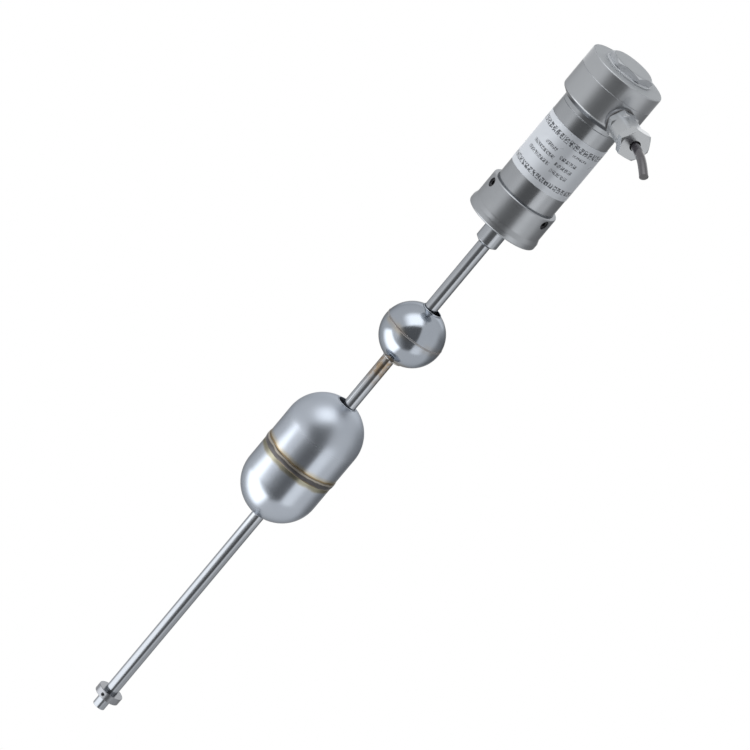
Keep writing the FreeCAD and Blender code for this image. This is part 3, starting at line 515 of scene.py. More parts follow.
def lid_finish():
    """Turned like the head at its side, blasted on top, with painted light that makes the boss's flats
    paler.
    """
    finish = metal(
        "blasted_steel",
        dark=(0.465, 0.485, 0.51),
        light=(0.505, 0.525, 0.55),
        roughness=(0.17, 0.23),
        grain=TURNED_GRAIN,
        bump=0.04,
    )
    height = finish.height()
    finish.tint(finish.span(height, *LID_RIM, 0.0, 1.0), (0.435, 0.455, 0.475))
    # Painted light: the boss's flats are made paler than the top, to brighten them where they face the dark
    # side of the studio.
    finish.tint(finish.between(height, *BOSS_FLATS_PAINTED_LIGHT, 0.0004), (0.60, 0.62, 0.645))
    top = finish.span(height, *LID_RIM, 0.28, 0.68)
    finish.rough(finish.calc("ADD", top, finish.along_grain(0.0, 0.06)))
    return finish.material


def rod_finish():
    """Drawn tube, stained brown just under the ball, darker but for its edges along its lower half."""
    finish = metal(
        "drawn_steel",
        dark=(0.43, 0.455, 0.49),
        light=(0.48, 0.505, 0.54),
        roughness=(0.16, 0.20),
        grain=ROD_GRAIN,
        bump=0.006,
    )
    height = finish.height()
    patches = finish.span(finish.noise(160.0, detail=3.0), 0.35, 0.6, 0.2, 0.85)
    under_ball = finish.between(height, *ROD_STAIN, 0.025)
    finish.tint(finish.calc("MULTIPLY", under_ball, patches), (0.34, 0.24, 0.14))
    lower = finish.span(height, *LOWER_ROD, 1.0, 0.0)
    finish.tint(finish.calc("MULTIPLY", lower, 0.75), (0.31, 0.33, 0.36))
    edge = finish.blend(lower, (0.4, 0.4, 0.4), (1.0, 1.0, 1.0))
    finish.join(edge, finish.shader.inputs["Specular Tint"])
    return finish.material


def heat_patches(finish):
    """Where the ball has been hot."""
    return finish.span(finish.noise(32.0, detail=2.0), 0.40, 0.68, 0.0, 0.8)


def ball_finish():
    """Polished shell, straw coloured round the lower sleeve and by the seam."""
    finish = metal(
        "polished_steel",
        dark=(0.41, 0.45, 0.51),
        light=(0.46, 0.50, 0.555),
        roughness=(0.12, 0.18),
        grain=POLISHED_GRAIN,
        bump=0.02,
        edge=0.4,
    )
    height = finish.height()
    low = finish.span(height, *BALL_FOOT, 1.0, 0.0)
    seam_height = (BALL_HEIGHT + BALL_SEAM_RISE) * MM
    seam = finish.span(finish.away_from(height, seam_height), 0.001, 0.006, 0.7, 0.0)
    heat = finish.calc("MULTIPLY", finish.calc("MAXIMUM", low, seam), heat_patches(finish))
    finish.tint(heat, (0.52, 0.42, 0.27))
    return finish.material


def seam_finish():
    """Thin dull bead, browned where the ball has been hot."""
    finish = metal(
        "seam_bead",
        dark=(0.35, 0.355, 0.37),
        light=(0.41, 0.415, 0.43),
        roughness=(0.40, 0.50),
        grain=CAST_GRAIN,
        bump=0.1,
    )
    finish.tint(heat_patches(finish), (0.15, 0.11, 0.08))
    return finish.material


def above_weld(finish):
    """Height over the middle of the capsule's weld, a little uneven."""
    wander = finish.span(finish.noise(90.0, detail=2.0), 0.3, 0.7, -0.0006, 0.0006)
    seam_height = (CAPSULE_HEIGHT - CAPSULE_SEAM_DROP) * MM
    return finish.calc("SUBTRACT", finish.calc("ADD", finish.height(), wander), seam_height)


def capsule_finish():
    """Satin shell with heat colours that run out from its weld: straw, a brown line above, olive below."""
    finish = metal(
        "satin_steel",
        dark=(0.48, 0.525, 0.595),
        light=(0.53, 0.575, 0.64),
        roughness=(0.22, 0.25),
        grain=TURNED_GRAIN,
        bump=0.0015,
        edge=0.45,
    )
    above = above_weld(finish)
    away = finish.calc("ABSOLUTE", above, 0.0)
    matt = finish.span(above, 0.020, 0.050, 0.21, 0.38)
    finish.rough(finish.calc("ADD", matt, finish.along_grain(0.0, 0.03)))
    finish.tint(finish.span(away, 0.0042, 0.0098, 0.85, 0.0), (0.50, 0.44, 0.31))
    finish.tint(finish.between(above, 0.0010, 0.0044, 0.0010), (0.30, 0.23, 0.14))
    finish.tint(finish.between(above, -0.0058, -0.0010, 0.0034), (0.32, 0.31, 0.24))
    return finish.material


def weld_finish_painted_light():
    """Bead with a dark skin, partly oxide and partly painted shade, and a painted highlight along its upper
    side.
    """
    finish = metal(
        "weld_bead_painted_light",
        # The dark base is partly oxide and partly painted shade.
        dark=(0.075, 0.072, 0.075),
        light=(0.14, 0.135, 0.135),
        roughness=(0.34, 0.44),
        grain=CAST_GRAIN,
        bump=0.2,
        cloud=240.0,
    )
    above = above_weld(finish)
    away = finish.calc("ABSOLUTE", above, 0.0)
    # Painted highlight along the bead's upper side.
    finish.tint(finish.between(above, 0.0016, 0.0026, 0.0008), (0.40, 0.37, 0.32))
    finish.tint(finish.span(away, 0.0026, 0.0036, 0.0, 0.8), (0.24, 0.19, 0.12))
    return finish.material


# Printed marks of the label: height, half height, arc range from the front in millimetres, width of a mark.
BOLD_MARKS = (
    (105.6, 2.9, -60.0, 60.0, 5.4),
    (63.2, 2.5, -60.0, 60.0, 4.8),
)
FINE_MARKS = (
    (98.0, 1.2, 10.0, 26.0, 2.2),
    (93.0, 1.8, -18.0, -4.0, 2.9),
    (89.8, 1.8, 2.0, 21.0, 4.2),
    (85.6, 1.8, -30.0, -2.0, 2.9),
    (82.4, 1.8, 2.0, 21.0, 4.2),
    (78.0, 1.8, -30.0, -2.0, 2.9),
    (75.0, 1.8, 2.0, 21.0, 4.2),
)
BOLD_STROKE = 0.62
FINE_STROKE = 0.85
MARK_GAP = 0.09
INK = (0.045, 0.05, 0.06)


def add_marks(finish, rows, arc, height, stroke):
    """Print rows of marks whose strokes are a noise, so that they spell nothing."""
    flat = finish.node("ShaderNodeCombineXYZ")
    finish.join(arc, flat.inputs["X"])
    finish.join(height, flat.inputs["Y"])
    scribble = finish.noise(stroke, detail=1.0, vector=flat.outputs["Vector"])
    strokes = finish.span(scribble, 0.45, 0.51, 0.0, 0.9)
    for middle, half, start, end, width in rows:
        row = finish.calc("LESS_THAN", finish.away_from(height, middle), half)
        inside = finish.calc("LESS_THAN", finish.away_from(arc, (start + end) / 2), (end - start) / 2)
        gaps = finish.calc("GREATER_THAN", finish.calc("PINGPONG", arc, width / 2), width * MARK_GAP)
        marks = finish.calc("MULTIPLY", finish.calc("MULTIPLY", row, inside), gaps)
        finish.tint(finish.calc("MULTIPLY", marks, strokes), INK)


def label_finish():
    """Pale foil with rows of printed marks."""
    finish = plain("label_foil", (0.595, 0.63, 0.68), (0.62, 0.655, 0.705), 0.30, cloud=40.0, bump=0.02)
    finish.set(metallic=0.35)
    parts = finish.node("ShaderNodeSeparateXYZ")
    finish.join(finish.stretched((1.0 / MM,) * 3), parts.inputs["Vector"])
    bearing = finish.calc("ARCTAN2", parts.outputs["Y"], parts.outputs["X"])
    front = math.radians(VIEW_AZIMUTH - 90.0)
    arc = finish.calc("MULTIPLY", finish.calc("SUBTRACT", bearing, front), LABEL_RADIUS)
    add_marks(finish, BOLD_MARKS, arc, parts.outputs["Z"], BOLD_STROKE)
    add_marks(finish, FINE_MARKS, arc, parts.outputs["Z"], FINE_STROKE)
    return finish.material


head_steel = head_finish()
lid_steel = lid_finish()
gland_steel = metal(
    "plated_steel", (0.52, 0.54, 0.56), (0.58, 0.60, 0.62), (0.30, 0.36), PLATED_GRAIN, bump=0.05
).material
# The nut's plated steel is a paler copy of the body's: painted light, to make its flats look brighter.
nut_steel_painted_light = metal(
    "plated_nut_steel_painted_light", (0.55, 0.57, 0.59), (0.61, 0.63, 0.65), (0.20, 0.26), PLATED_GRAIN, bump=0.05
).material
rod_steel = rod_finish()
ball_steel = ball_finish()
capsule_steel = capsule_finish()
weld_steel_painted_light = weld_finish_painted_light()
stop_steel = metal(
    "dull_steel", (0.25, 0.26, 0.28), (0.30, 0.31, 0.33), (0.22, 0.28), TURNED_GRAIN, bump=0.02
).material
seam_steel = seam_finish()
screw_steel = metal(
    "black_steel", (0.05, 0.05, 0.055), (0.09, 0.09, 0.095), (0.40, 0.55), CAST_GRAIN
).material
magnet_iron = metal(
    "sintered_iron", (0.10, 0.10, 0.11), (0.16, 0.16, 0.17), (0.55, 0.7), SINTERED_GRAIN
).material
copper_wire = metal(
    "enamelled_copper", (0.50, 0.22, 0.11), (0.62, 0.30, 0.16), (0.25, 0.4), TURNED_GRAIN
).material
label_foil = label_finish()
sheath_rubber = cable_rubber()
# The washer is fibre, and its dark tone also stands in for the shade at the gland's root: partly painted
# shade.
washer_fibre_painted_shade = plain("washer_fibre_painted_shade", (0.075, 0.075, 0.078), (0.11, 0.11, 0.114), 0.5).material
seal_rubber = plain("seal_rubber", (0.018, 0.018, 0.018), (0.032, 0.032, 0.032), 0.6).material
core_plastic = plain("core_insulation", (0.40, 0.05, 0.04), (0.50, 0.08, 0.06), 0.4).material
board_laminate = plain("board_laminate", (0.02, 0.13, 0.05), (0.04, 0.19, 0.08), 0.4).material
terminal_plastic = plain("terminal_moulding", (0.03, 0.22, 0.09), (0.05, 0.28, 0.12), 0.45).material
chip_plastic = plain("package_moulding", (0.02, 0.02, 0.02), (0.04, 0.04, 0.04), 0.5).material
white_moulding = plain("white_moulding", (0.62, 0.61, 0.58), (0.70, 0.69, 0.66), 0.5).material

NODE_FINISH = {
    "head_metal": head_steel,
    "gland_metal": gland_steel,
    "rod_metal": rod_steel,
    "ball_metal": ball_steel,
    "capsule_metal": capsule_steel,
    "label_foil": label_foil,
    "dark_screw": screw_steel,
    "seal_rubber": seal_rubber,
    "cable_sheath": sheath_rubber,
    "core_plastic": core_plastic,
    "board_laminate": board_laminate,
    "terminal_plastic": terminal_plastic,
    "chip_plastic": chip_plastic,
    "moulding": white_moulding,
    "copper": copper_wire,
    "magnet": magnet_iron,
}


def finish_solids():
    """Give every solid of the frame the finish of its slot."""
    for row in frame["record"]["subparts"]:
        solid = frame["nodes"][row["node"]]
        solid.data.materials.clear()
        solid.data.materials.append(NODE_FINISH[row["material_slot"]])


# Heights above the seat.
FLANGE_TOP = 6.0
TAPER_TOP = 10.4
BARREL_BOTTOM = 10.0
COLLAR_TOP = 35.3
CASING_BOTTOM = 128.5
SHOULDER_LOW = 133.4
SHOULDER_HIGH = 138.2
CHAMBER_FLOOR = 138.4
CASING_TOP = 165.3
LID_TOP = 181.2
GLAND_HEIGHT = 149.1
NECK_CONE = -21.4
NECK_END = -23.8
ROD_TOP = 14.0
PROBE_END = -603.2

# Collar, neck, barrel and rod: radii.
FLANGE_RADIUS = 36.6
COLLAR_RADIUS = 35.1
COLLAR_BORE = 31.05
COLLAR_HOLE = 11.85
SPIGOT_RADIUS = 11.7
NECK_RADIUS = 11.3
NECK_TIP_RADIUS = 7.7
ROD_HOLE = 6.5
BARREL_RADIUS = 30.9
BARREL_BORE = 27.9
ROD_RADIUS = 6.35
ROD_BORE = 5.15

# Casing and lid: radii, and lengths of the skirt, the thread and the seal's groove.
CASING_RADIUS = 38.4
SHOULDER_RADIUS = 32.2
SKIRT_RADIUS = 27.75
CASING_HOLE = 23.0
CHAMBER_RADIUS = 31.0
THREAD_RADIUS = 34.5
SKIRT_LENGTH = 8.0
THREAD_LENGTH = 9.5
LID_BORE = 34.8
LID_PLATE = 4.4
GROOVE_RADIUS = 37.1
GROOVE_DEPTH = 2.6
LID_STEP_RADIUS = 24.16
LID_STEP = 1.8
LID_BOSS_FLATS = 40.8
LID_BOSS_RISE = 8.0

# Angles about the axis, from +X.
CLAMP_ANGLES = (24.0, 144.0, 264.0)
STOP_SCREW_ANGLE = -53.0
LID_ANGLE = 24.0

# Set screws: radii of hole, screw, tip and socket, and how far below the collar's top the clamp screws lie.
CLAMP_HOLE = 4.6
CLAMP_SCREW = 4.45
CLAMP_TIP = 3.45
CLAMP_SOCKET = 2.5
CLAMP_DROP = 6.4
STOP_SCREW_HOLE = 1.8
STOP_SCREW = 1.65
STOP_SOCKET = 1.0

# How far pieces that become one run into each other.
OVERLAP = 1.0

# Gland: faces along it, from the rod's axis outwards, then radii and widths across flats.
SHANK_END = 31.0
BOSS_FACE = 39.8
WASHER_FACE = 41.0
GLAND_HEX_END = 49.6
SEAL_FACE = 60.85
GLAND_BODY_END = 69.1
NUT_START = 69.25
GLAND_THREAD_END = 75.3
NUT_LIP = 76.15
NUT_END = 78.75
BOSS_RADIUS = 13.5
BOSS_CORE = 6.0
WASHER_RADIUS = 14.0
SHANK_RADIUS = 8.0
GLAND_RADIUS = 13.0
GLAND_HOLE = 8.15
GLAND_THREAD = 9.3
GLAND_BORE = 4.5
SEAL_RADIUS = 7.15
NUT_BORE = 9.45
NUT_MOUTH = 5.3
GLAND_FLATS = 25.6
NUT_FLATS = 28.0

# Stop collar near the rod's end, and the plug in that end.
STOP_RISE = 12.4
STOP_LENGTH = 7.4
STOP_RADIUS = 12.85
PLUG_RISE = 8.0
PLUG_LENGTH = 18.0
PLUG_RADIUS = 5.0

# Float shells: radius, wall, hole round the sleeve, half length of the capsule's straight wall.
BALL_RADIUS = 30.6
BALL_WALL = 1.0
BALL_HOLE = 10.05
CAPSULE_RADIUS = 38.0
CAPSULE_WALL = 1.2
CAPSULE_HOLE = 10.25
CAPSULE_STRAIGHT = 30.25

# Weld beads: steps round the seam and round the bead, size of a ripple.
BEAD_STEPS = 360
BEAD_ROUNDNESS = 16
RIPPLE_SIZE = 1.6


def lean_centre(lean, height):
    angle, offset = lean
    return (
        offset * math.cos(math.radians(angle)),
        offset * math.sin(math.radians(angle)),
        height,
    )


def make_collar():
    collar = turn(
        "collar_ring",
        [
            (COLLAR_HOLE, BARREL_BOTTOM),
            (COLLAR_HOLE, 0.0, 0.3),
            (FLANGE_RADIUS, 0.0, 2.0),
            (FLANGE_RADIUS, FLANGE_TOP, 0.5),
            (COLLAR_RADIUS, TAPER_TOP, 0.5),
            (COLLAR_RADIUS, COLLAR_TOP, 1.6),
            (COLLAR_BORE, COLLAR_TOP, 0.3),
            (COLLAR_BORE, BARREL_BOTTOM),
        ],
    )
    for angle in CLAMP_ANGLES:
        cut_with(collar, radial_cutter(CLAMP_HOLE, 25.0, 45.0, angle, COLLAR_TOP - CLAMP_DROP))
    break_edges(collar, 0.25, segments=2)
    fit(collar, "head", "head_metal", head_steel, "base_collar")


def make_clamp_screws():
    """Socket set screws, sunk in the collar."""
    height = COLLAR_TOP - CLAMP_DROP
    screws = []
    for angle in CLAMP_ANGLES:
        screw = turn(
            "clamp_screw",
            [(CLAMP_TIP, 31.1), (CLAMP_SCREW, 32.1), (CLAMP_SCREW, 33.7, 0.3)],
            axis="X",
            steps=SMALL_STEPS,
            solid=True,
        )
        spin_about(screw, "Z", angle, (0, 0, height))
        cut_with(screw, radial_cutter(CLAMP_SOCKET, 31.9, 36.0, angle, height, corners=6))
        screws.append(screw)
    bpy.ops.object.select_all(action="DESELECT")
    for screw in screws:
        screw.select_set(True)
    bpy.context.view_layer.objects.active = screws[0]
    bpy.ops.object.join()
    screws[0].name = "socket_screws"
    fit(screws[0], "head", "dark_screw", screw_steel, "clamp_screws")


def make_neck():
    neck = turn(
        "neck_shank",
        [
            (ROD_HOLE, BARREL_BOTTOM),
            (ROD_HOLE, NECK_END),
            (NECK_TIP_RADIUS, NECK_END, 0.3),
            (NECK_RADIUS, NECK_CONE, 0.4),
            (NECK_RADIUS, 0.0),
            (SPIGOT_RADIUS, 0.0),
            (SPIGOT_RADIUS, BARREL_BOTTOM),
        ],
        steps=ROD_STEPS,
    )
    fit(neck, "head", "rod_metal", rod_steel, "rod_neck")


def make_barrel():
    barrel = turn(
        "barrel_tube",
        [
            (BARREL_BORE, BARREL_BOTTOM),
            (BARREL_RADIUS, BARREL_BOTTOM, 0.5),
            (BARREL_RADIUS, CASING_BOTTOM, 0.5),
            (BARREL_BORE, CASING_BOTTOM),
        ],
    )
    fit(barrel, "head", "head_metal", head_steel, "barrel")


def make_label():
    """Thin plate bent round the barrel."""
    bpy.ops.object.select_all(action="DESELECT")
    bpy.ops.mesh.primitive_plane_add(
        size=MM,
        location=((LABEL_RADIUS + LABEL_THICKNESS / 2) * MM, 0, (LABEL_LOW + LABEL_HIGH) / 2 * MM),
        rotation=(math.pi / 2, 0, 0),
    )
    label = bpy.context.object
    label.scale = (LABEL_THICKNESS, LABEL_HIGH - LABEL_LOW, 1.0)
    label = new_piece("label_plate")
    spin_about(label, "Z", LABEL_START)
    edit_all(label)
    bpy.ops.mesh.spin(
        steps=LABEL_STEPS,
        angle=math.radians(LABEL_WRAP),
        center=(0, 0, 0),
        axis=(0, 0, 1),
    )
    close_up()
    fit(label, "head", "label_foil", label_foil, "label")


def make_casing():
    casing = turn(
        "casing_shell",
        [
            (CASING_HOLE, CASING_BOTTOM - SKIRT_LENGTH),
            (SKIRT_RADIUS, CASING_BOTTOM - SKIRT_LENGTH),
            (SKIRT_RADIUS, CASING_BOTTOM),
            (BARREL_RADIUS, CASING_BOTTOM, 0.5),
            (BARREL_RADIUS, SHOULDER_LOW, 0.3),
            (SHOULDER_RADIUS, SHOULDER_LOW, 0.3),
            (CASING_RADIUS, SHOULDER_HIGH, 1.6),
            (CASING_RADIUS, CASING_TOP, 0.4),
            (THREAD_RADIUS, CASING_TOP),
            (THREAD_RADIUS, CASING_TOP + THREAD_LENGTH, 0.4),
            (CHAMBER_RADIUS, CASING_TOP + THREAD_LENGTH, 0.4),
            (CHAMBER_RADIUS, CHAMBER_FLOOR),
            (CASING_HOLE, CHAMBER_FLOOR),
        ],
    )
    boss = turn(
        "boss",
        [
            (BOSS_CORE, CHAMBER_RADIUS + OVERLAP),
            (BOSS_RADIUS, CHAMBER_RADIUS + OVERLAP),
            (BOSS_RADIUS, BOSS_FACE, 0.4),
            (BOSS_CORE, BOSS_FACE),
        ],
        centre=(0, 0, GLAND_HEIGHT),
        axis="X",
        steps=ROD_STEPS,
    )
    cut_with(casing, boss, "UNION")
    cut_with(casing, radial_cutter(GLAND_HOLE, 20.0, 50.0, 0.0, GLAND_HEIGHT))
    fit(casing, "head", "head_metal", head_steel, "head_casing")


def make_lid():
    lid = turn(
        "screw_lid",
        [
            (LID_BORE, LID_TOP - LID_PLATE),
            (LID_BORE, CASING_TOP + GROOVE_DEPTH),
            (GROOVE_RADIUS, CASING_TOP + GROOVE_DEPTH),
            (GROOVE_RADIUS, CASING_TOP, 0.2),
            (CASING_RADIUS, CASING_TOP, 0.4),
            (CASING_RADIUS, LID_TOP, 1.3),
            (LID_STEP_RADIUS, LID_TOP, 0.4),
            (LID_STEP_RADIUS, LID_TOP + LID_STEP, 0.6),
        ],
        solid=True,
    )
    boss = hexagon_bar(
        "boss", LID_BOSS_FLATS, LID_TOP + OVERLAP, LID_TOP + LID_BOSS_RISE, 0.5, spin=LID_ANGLE
    )
    cut_with(lid, boss, "UNION")
    fit(lid, "lid", "head_metal", lid_steel, "lid")


def make_gland():
    centre = (0, 0, GLAND_HEIGHT)
    washer = turn(
        "gland_ring",
        [
            (GLAND_HOLE, BOSS_FACE),
            (WASHER_RADIUS, BOSS_FACE, 0.3),
            (WASHER_RADIUS, WASHER_FACE, 0.3),
            (GLAND_HOLE, WASHER_FACE),
        ],
        centre=centre,
        axis="X",
        steps=ROD_STEPS,
    )
    # The washer's dark finish is partly painted shade at the gland's root.
    fit(washer, "head", "seal_rubber", washer_fibre_painted_shade, "gland_washer")

    core = turn(
        "gland_hexagon",
        [
            (SHANK_RADIUS, SHANK_END, 0.8),
            (SHANK_RADIUS, WASHER_FACE + OVERLAP),
            (GLAND_RADIUS, WASHER_FACE + OVERLAP),
            (GLAND_RADIUS, GLAND_BODY_END, 1.0),
            (GLAND_THREAD, GLAND_BODY_END),
            (GLAND_THREAD, GLAND_THREAD_END, 0.5),
        ],
        centre=centre,
        axis="X",
        steps=ROD_STEPS,
        solid=True,
    )
    ring = hexagon_bar("ring", GLAND_FLATS, WASHER_FACE, GLAND_HEX_END, 0.2, axis="X", centre=centre)
    cut_with(core, ring, "UNION")
    bore = turn(
        "bore",
        [(GLAND_BORE, 25.0), (GLAND_BORE, SEAL_FACE), (SEAL_RADIUS, SEAL_FACE), (SEAL_RADIUS, 80.0)],
        centre=centre,
        axis="X",
        steps=SMALL_STEPS,
        solid=True,
    )
    cut_with(core, bore)
    fit(core, "head", "gland_metal", gland_steel, "gland_body")

    nut = hexagon_bar("gland_cap", NUT_FLATS, NUT_START, NUT_END, 0.2, axis="X", centre=centre)
    room = turn(
        "room",
        [(NUT_BORE, 60.0), (NUT_BORE, NUT_LIP), (NUT_MOUTH, NUT_LIP), (NUT_MOUTH, 85.0)],
        centre=centre,
        axis="X",
        steps=SMALL_STEPS,
        solid=True,
    )
    cut_with(nut, room)
    break_edges(nut, 0.7, segments=3)
    fit(nut, "head", "gland_metal", nut_steel_painted_light, "gland_nut")


def make_rod():
    plug_top = PROBE_END + PLUG_RISE
    rod = turn(
        "guide_rod",
        [(ROD_BORE, ROD_TOP), (ROD_RADIUS, ROD_TOP), (ROD_RADIUS, plug_top), (ROD_BORE, plug_top)],
        steps=ROD_STEPS,
    )
    fit(rod, "head", "rod_metal", rod_steel, "rod_tube")
    end = turn(
        "rod_end",
        [
            (PLUG_RADIUS, PROBE_END + PLUG_LENGTH),
            (PLUG_RADIUS, plug_top),
            (ROD_RADIUS, plug_top),
            (ROD_RADIUS, PROBE_END, 0.5),
        ],
        steps=ROD_STEPS,
        solid=True,
    )
    fit(end, "head", "rod_metal", rod_steel, "end_plug")


def make_stop():
    low = PROBE_END + STOP_RISE
    middle = low + STOP_LENGTH / 2
    stop = turn(
        "float_stop",
        [
            (ROD_HOLE, low + STOP_LENGTH),
            (ROD_HOLE, low),
            (STOP_RADIUS, low, 0.5),
            (STOP_RADIUS, low + STOP_LENGTH, 0.5),
        ],
        steps=STOP_STEPS,
    )
    cut_with(stop, radial_cutter(STOP_SCREW_HOLE, 5.0, 15.0, STOP_SCREW_ANGLE, middle))
    fit(stop, "head", "rod_metal", stop_steel, "stop_collar")
    screw = turn(
        "stop_grub",
        [(STOP_SCREW, ROD_HOLE), (STOP_SCREW, 12.35, 0.2)],
        axis="X",
        steps=SMALL_STEPS,
        solid=True,
    )
    spin_about(screw, "Z", STOP_SCREW_ANGLE, (0, 0, middle))
    cut_with(screw, radial_cutter(STOP_SOCKET, 10.5, 14.0, STOP_SCREW_ANGLE, middle, corners=6))
    fit(screw, "head", "dark_screw", screw_steel, "stop_screw")


def make_dome(name, radius, rise, wall, hole, seam, upward, walled=False):
    """Part of a float on one side of its seam.

    The dome's centre lies a rise beyond the seam, and a straight wall runs up to the seam or not.
    """
    way = 1.0 if upward else -1.0
    rim = Vector(seam) * MM
    base = rim + Vector((0, 0, way * rise * MM))
    bpy.ops.object.select_all(action="DESELECT")
    bpy.ops.mesh.primitive_uv_sphere_add(
        segments=FINE_STEPS, ring_count=FINE_STEPS // 2, radius=radius * MM, location=base
    )
    dome = new_piece(name)
    edit_all(dome)
    bpy.ops.mesh.bisect(
        plane_co=base if walled else rim,
        plane_no=(0, 0, way),
        clear_inner=True,
        use_fill=False,
    )
    if walled:
        bpy.ops.mesh.select_mode(type="EDGE")
        bpy.ops.mesh.select_all(action="DESELECT")
        bpy.ops.mesh.select_non_manifold(extend=False)
        bpy.ops.mesh.extrude_edges_move(TRANSFORM_OT_translate={"value": rim - base})
    bpy.ops.mesh.select_all(action="SELECT")
    top = math.sqrt(radius**2 - hole**2)
    bpy.ops.mesh.bisect(
        plane_co=base + Vector((0, 0, way * top * MM)),
        plane_no=(0, 0, way),
        clear_outer=True,
        use_fill=False,
    )
    close_up()
    apply_modifier(dome, "SOLIDIFY", thickness=wall * MM, offset=-1.0)
    return dome


def make_bead(name, radius, half_width, proud, centre, ripple):
    """Weld bead round a seam: a flat ring with ripples."""
    bpy.ops.object.select_all(action="DESELECT")
    bpy.ops.mesh.primitive_torus_add(
        major_radius=radius * MM,
        minor_radius=proud * MM,
        major_segments=BEAD_STEPS,
        minor_segments=BEAD_ROUNDNESS,
    )
    bead = bpy.context.object
    bead.scale = (1.0, 1.0, half_width / proud)
    new_piece(name)
    clouds = bpy.data.textures.new(name, "CLOUDS")
    clouds.noise_scale = RIPPLE_SIZE * MM
    apply_modifier(
        bead, "DISPLACE", texture=clouds, texture_coords="LOCAL", strength=ripple * MM, mid_level=0.5
    )
    return spin_about(bead, "Z", 0.0, centre)


def make_sleeve(name, bore, outer, half, centre):
    """Tube through a float, its ends rounded over. It is turned from inside its bore."""
    return turn(
        name,
        [
            (bore, -half + 4.0),
            (bore, -half, 0.3),
            (outer, -half, 0.5),
            (outer, half, 0.5),
            (bore, half, 0.3),
        ],
        centre=centre,
        steps=ROD_STEPS,
    )


def make_ball():
    centre = lean_centre(BALL_LEAN, BALL_HEIGHT)
    seam = lean_centre(BALL_LEAN, BALL_HEIGHT + BALL_SEAM_RISE)
    top = make_dome("ball_top", BALL_RADIUS, -BALL_SEAM_RISE, BALL_WALL, BALL_HOLE, seam, True)
    fit(top, "ball_float", "ball_metal", ball_steel, "ball_upper_shell", domed=True)
    bottom = make_dome("ball_bottom", BALL_RADIUS, BALL_SEAM_RISE, BALL_WALL, BALL_HOLE, seam, False)
    fit(bottom, "ball_float", "ball_metal", ball_steel, "ball_lower_shell", domed=True)
    bead = make_bead("ball_bead", radius=30.2, half_width=1.0, proud=0.35, centre=seam, ripple=0.15)
    fit(bead, "ball_float", "ball_metal", seam_steel, domed=True)
    sleeve = make_sleeve("ball_liner", bore=9.0, outer=9.9, half=30.1, centre=centre)
    fit(sleeve, "ball_float", "ball_metal", ball_steel, "ball_sleeve")


def make_capsule():
    centre = lean_centre(CAPSULE_LEAN, CAPSULE_HEIGHT)
    seam = lean_centre(CAPSULE_LEAN, CAPSULE_HEIGHT - CAPSULE_SEAM_DROP)
    above = CAPSULE_STRAIGHT + CAPSULE_SEAM_DROP
    below = CAPSULE_STRAIGHT - CAPSULE_SEAM_DROP
    top = make_dome(
        "capsule_top", CAPSULE_RADIUS, above, CAPSULE_WALL, CAPSULE_HOLE, seam, True, walled=True
    )
    fit(top, "capsule_float", "capsule_metal", capsule_steel, "capsule_upper_shell", domed=True)
    bottom = make_dome(
        "capsule_bottom", CAPSULE_RADIUS, below, CAPSULE_WALL, CAPSULE_HOLE, seam, False, walled=True
    )
    fit(bottom, "capsule_float", "capsule_metal", capsule_steel, "capsule_lower_shell", domed=True)
    bead = make_bead("capsule_bead", radius=37.9, half_width=3.75, proud=0.7, centre=seam, ripple=0.25)
    fit(bead, "capsule_float", "capsule_metal", weld_steel_painted_light, domed=True)
    sleeve = make_sleeve("capsule_liner", bore=9.2, outer=10.1, half=67.4, centre=centre)
    fit(sleeve, "capsule_float", "capsule_metal", capsule_steel, "capsule_sleeve")


# The studio: a floor well below the gauge, soft lamps, and cards that only reflections see.
WORLD_STRENGTH = 0.55
FLOOR_HEIGHT = -9.0
FLOOR_SIZE = 240.0
FLOOR_GREY = (0.8, 0.8, 0.8, 1.0)
WHITE = (1.0, 1.0, 1.0, 1.0)
TENT_RADIUS = 2.6
TENT_STRENGTH = 0.72
CARD_DISTANCE = 1.4
LAMP_DISTANCE = 3.0
LAMP_SIZE = 1.6


def seen_directly(tree):
    """1 for rays from the camera, or by way of a mirror or glass, and 0 for those that light the object."""
    path = tree.nodes.new("ShaderNodeLightPath")
    first = tree.nodes.new("ShaderNodeMath")
    second = tree.nodes.new("ShaderNodeMath")
    first.operation = second.operation = "MAXIMUM"
    tree.links.new(path.outputs["Is Camera Ray"], first.inputs[0])
    tree.links.new(path.outputs["Is Glossy Ray"], first.inputs[1])
    tree.links.new(first.outputs["Value"], second.inputs[0])
    tree.links.new(path.outputs["Is Transmission Ray"], second.inputs[1])
    return second.outputs["Value"]


def show_by_ray(tree, lighting, seen, surface):
    """Give the rays that see a surface one shader, and those that light the object another."""
    mix = tree.nodes.new("ShaderNodeMixShader")
    tree.links.new(seen_directly(tree), mix.inputs["Fac"])
    tree.links.new(lighting, mix.inputs[1])
    tree.links.new(seen, mix.inputs[2])
    tree.links.new(mix.outputs["Shader"], surface)


def light_world():
    world = bpy.data.worlds.new("studio")
    bpy.context.scene.world = world
    world.use_nodes = True
    tree = world.node_tree
    soft = tree.nodes["Background"]
    soft.inputs["Color"].default_value = WHITE
    soft.inputs["Strength"].default_value = WORLD_STRENGTH
    white = tree.nodes.new("ShaderNodeBackground")
    white.inputs["Color"].default_value = WHITE
    white.inputs["Strength"].default_value = 1.0
    surface = tree.nodes["World Output"].inputs["Surface"]
    show_by_ray(tree, soft.outputs["Background"], white.outputs["Background"], surface)


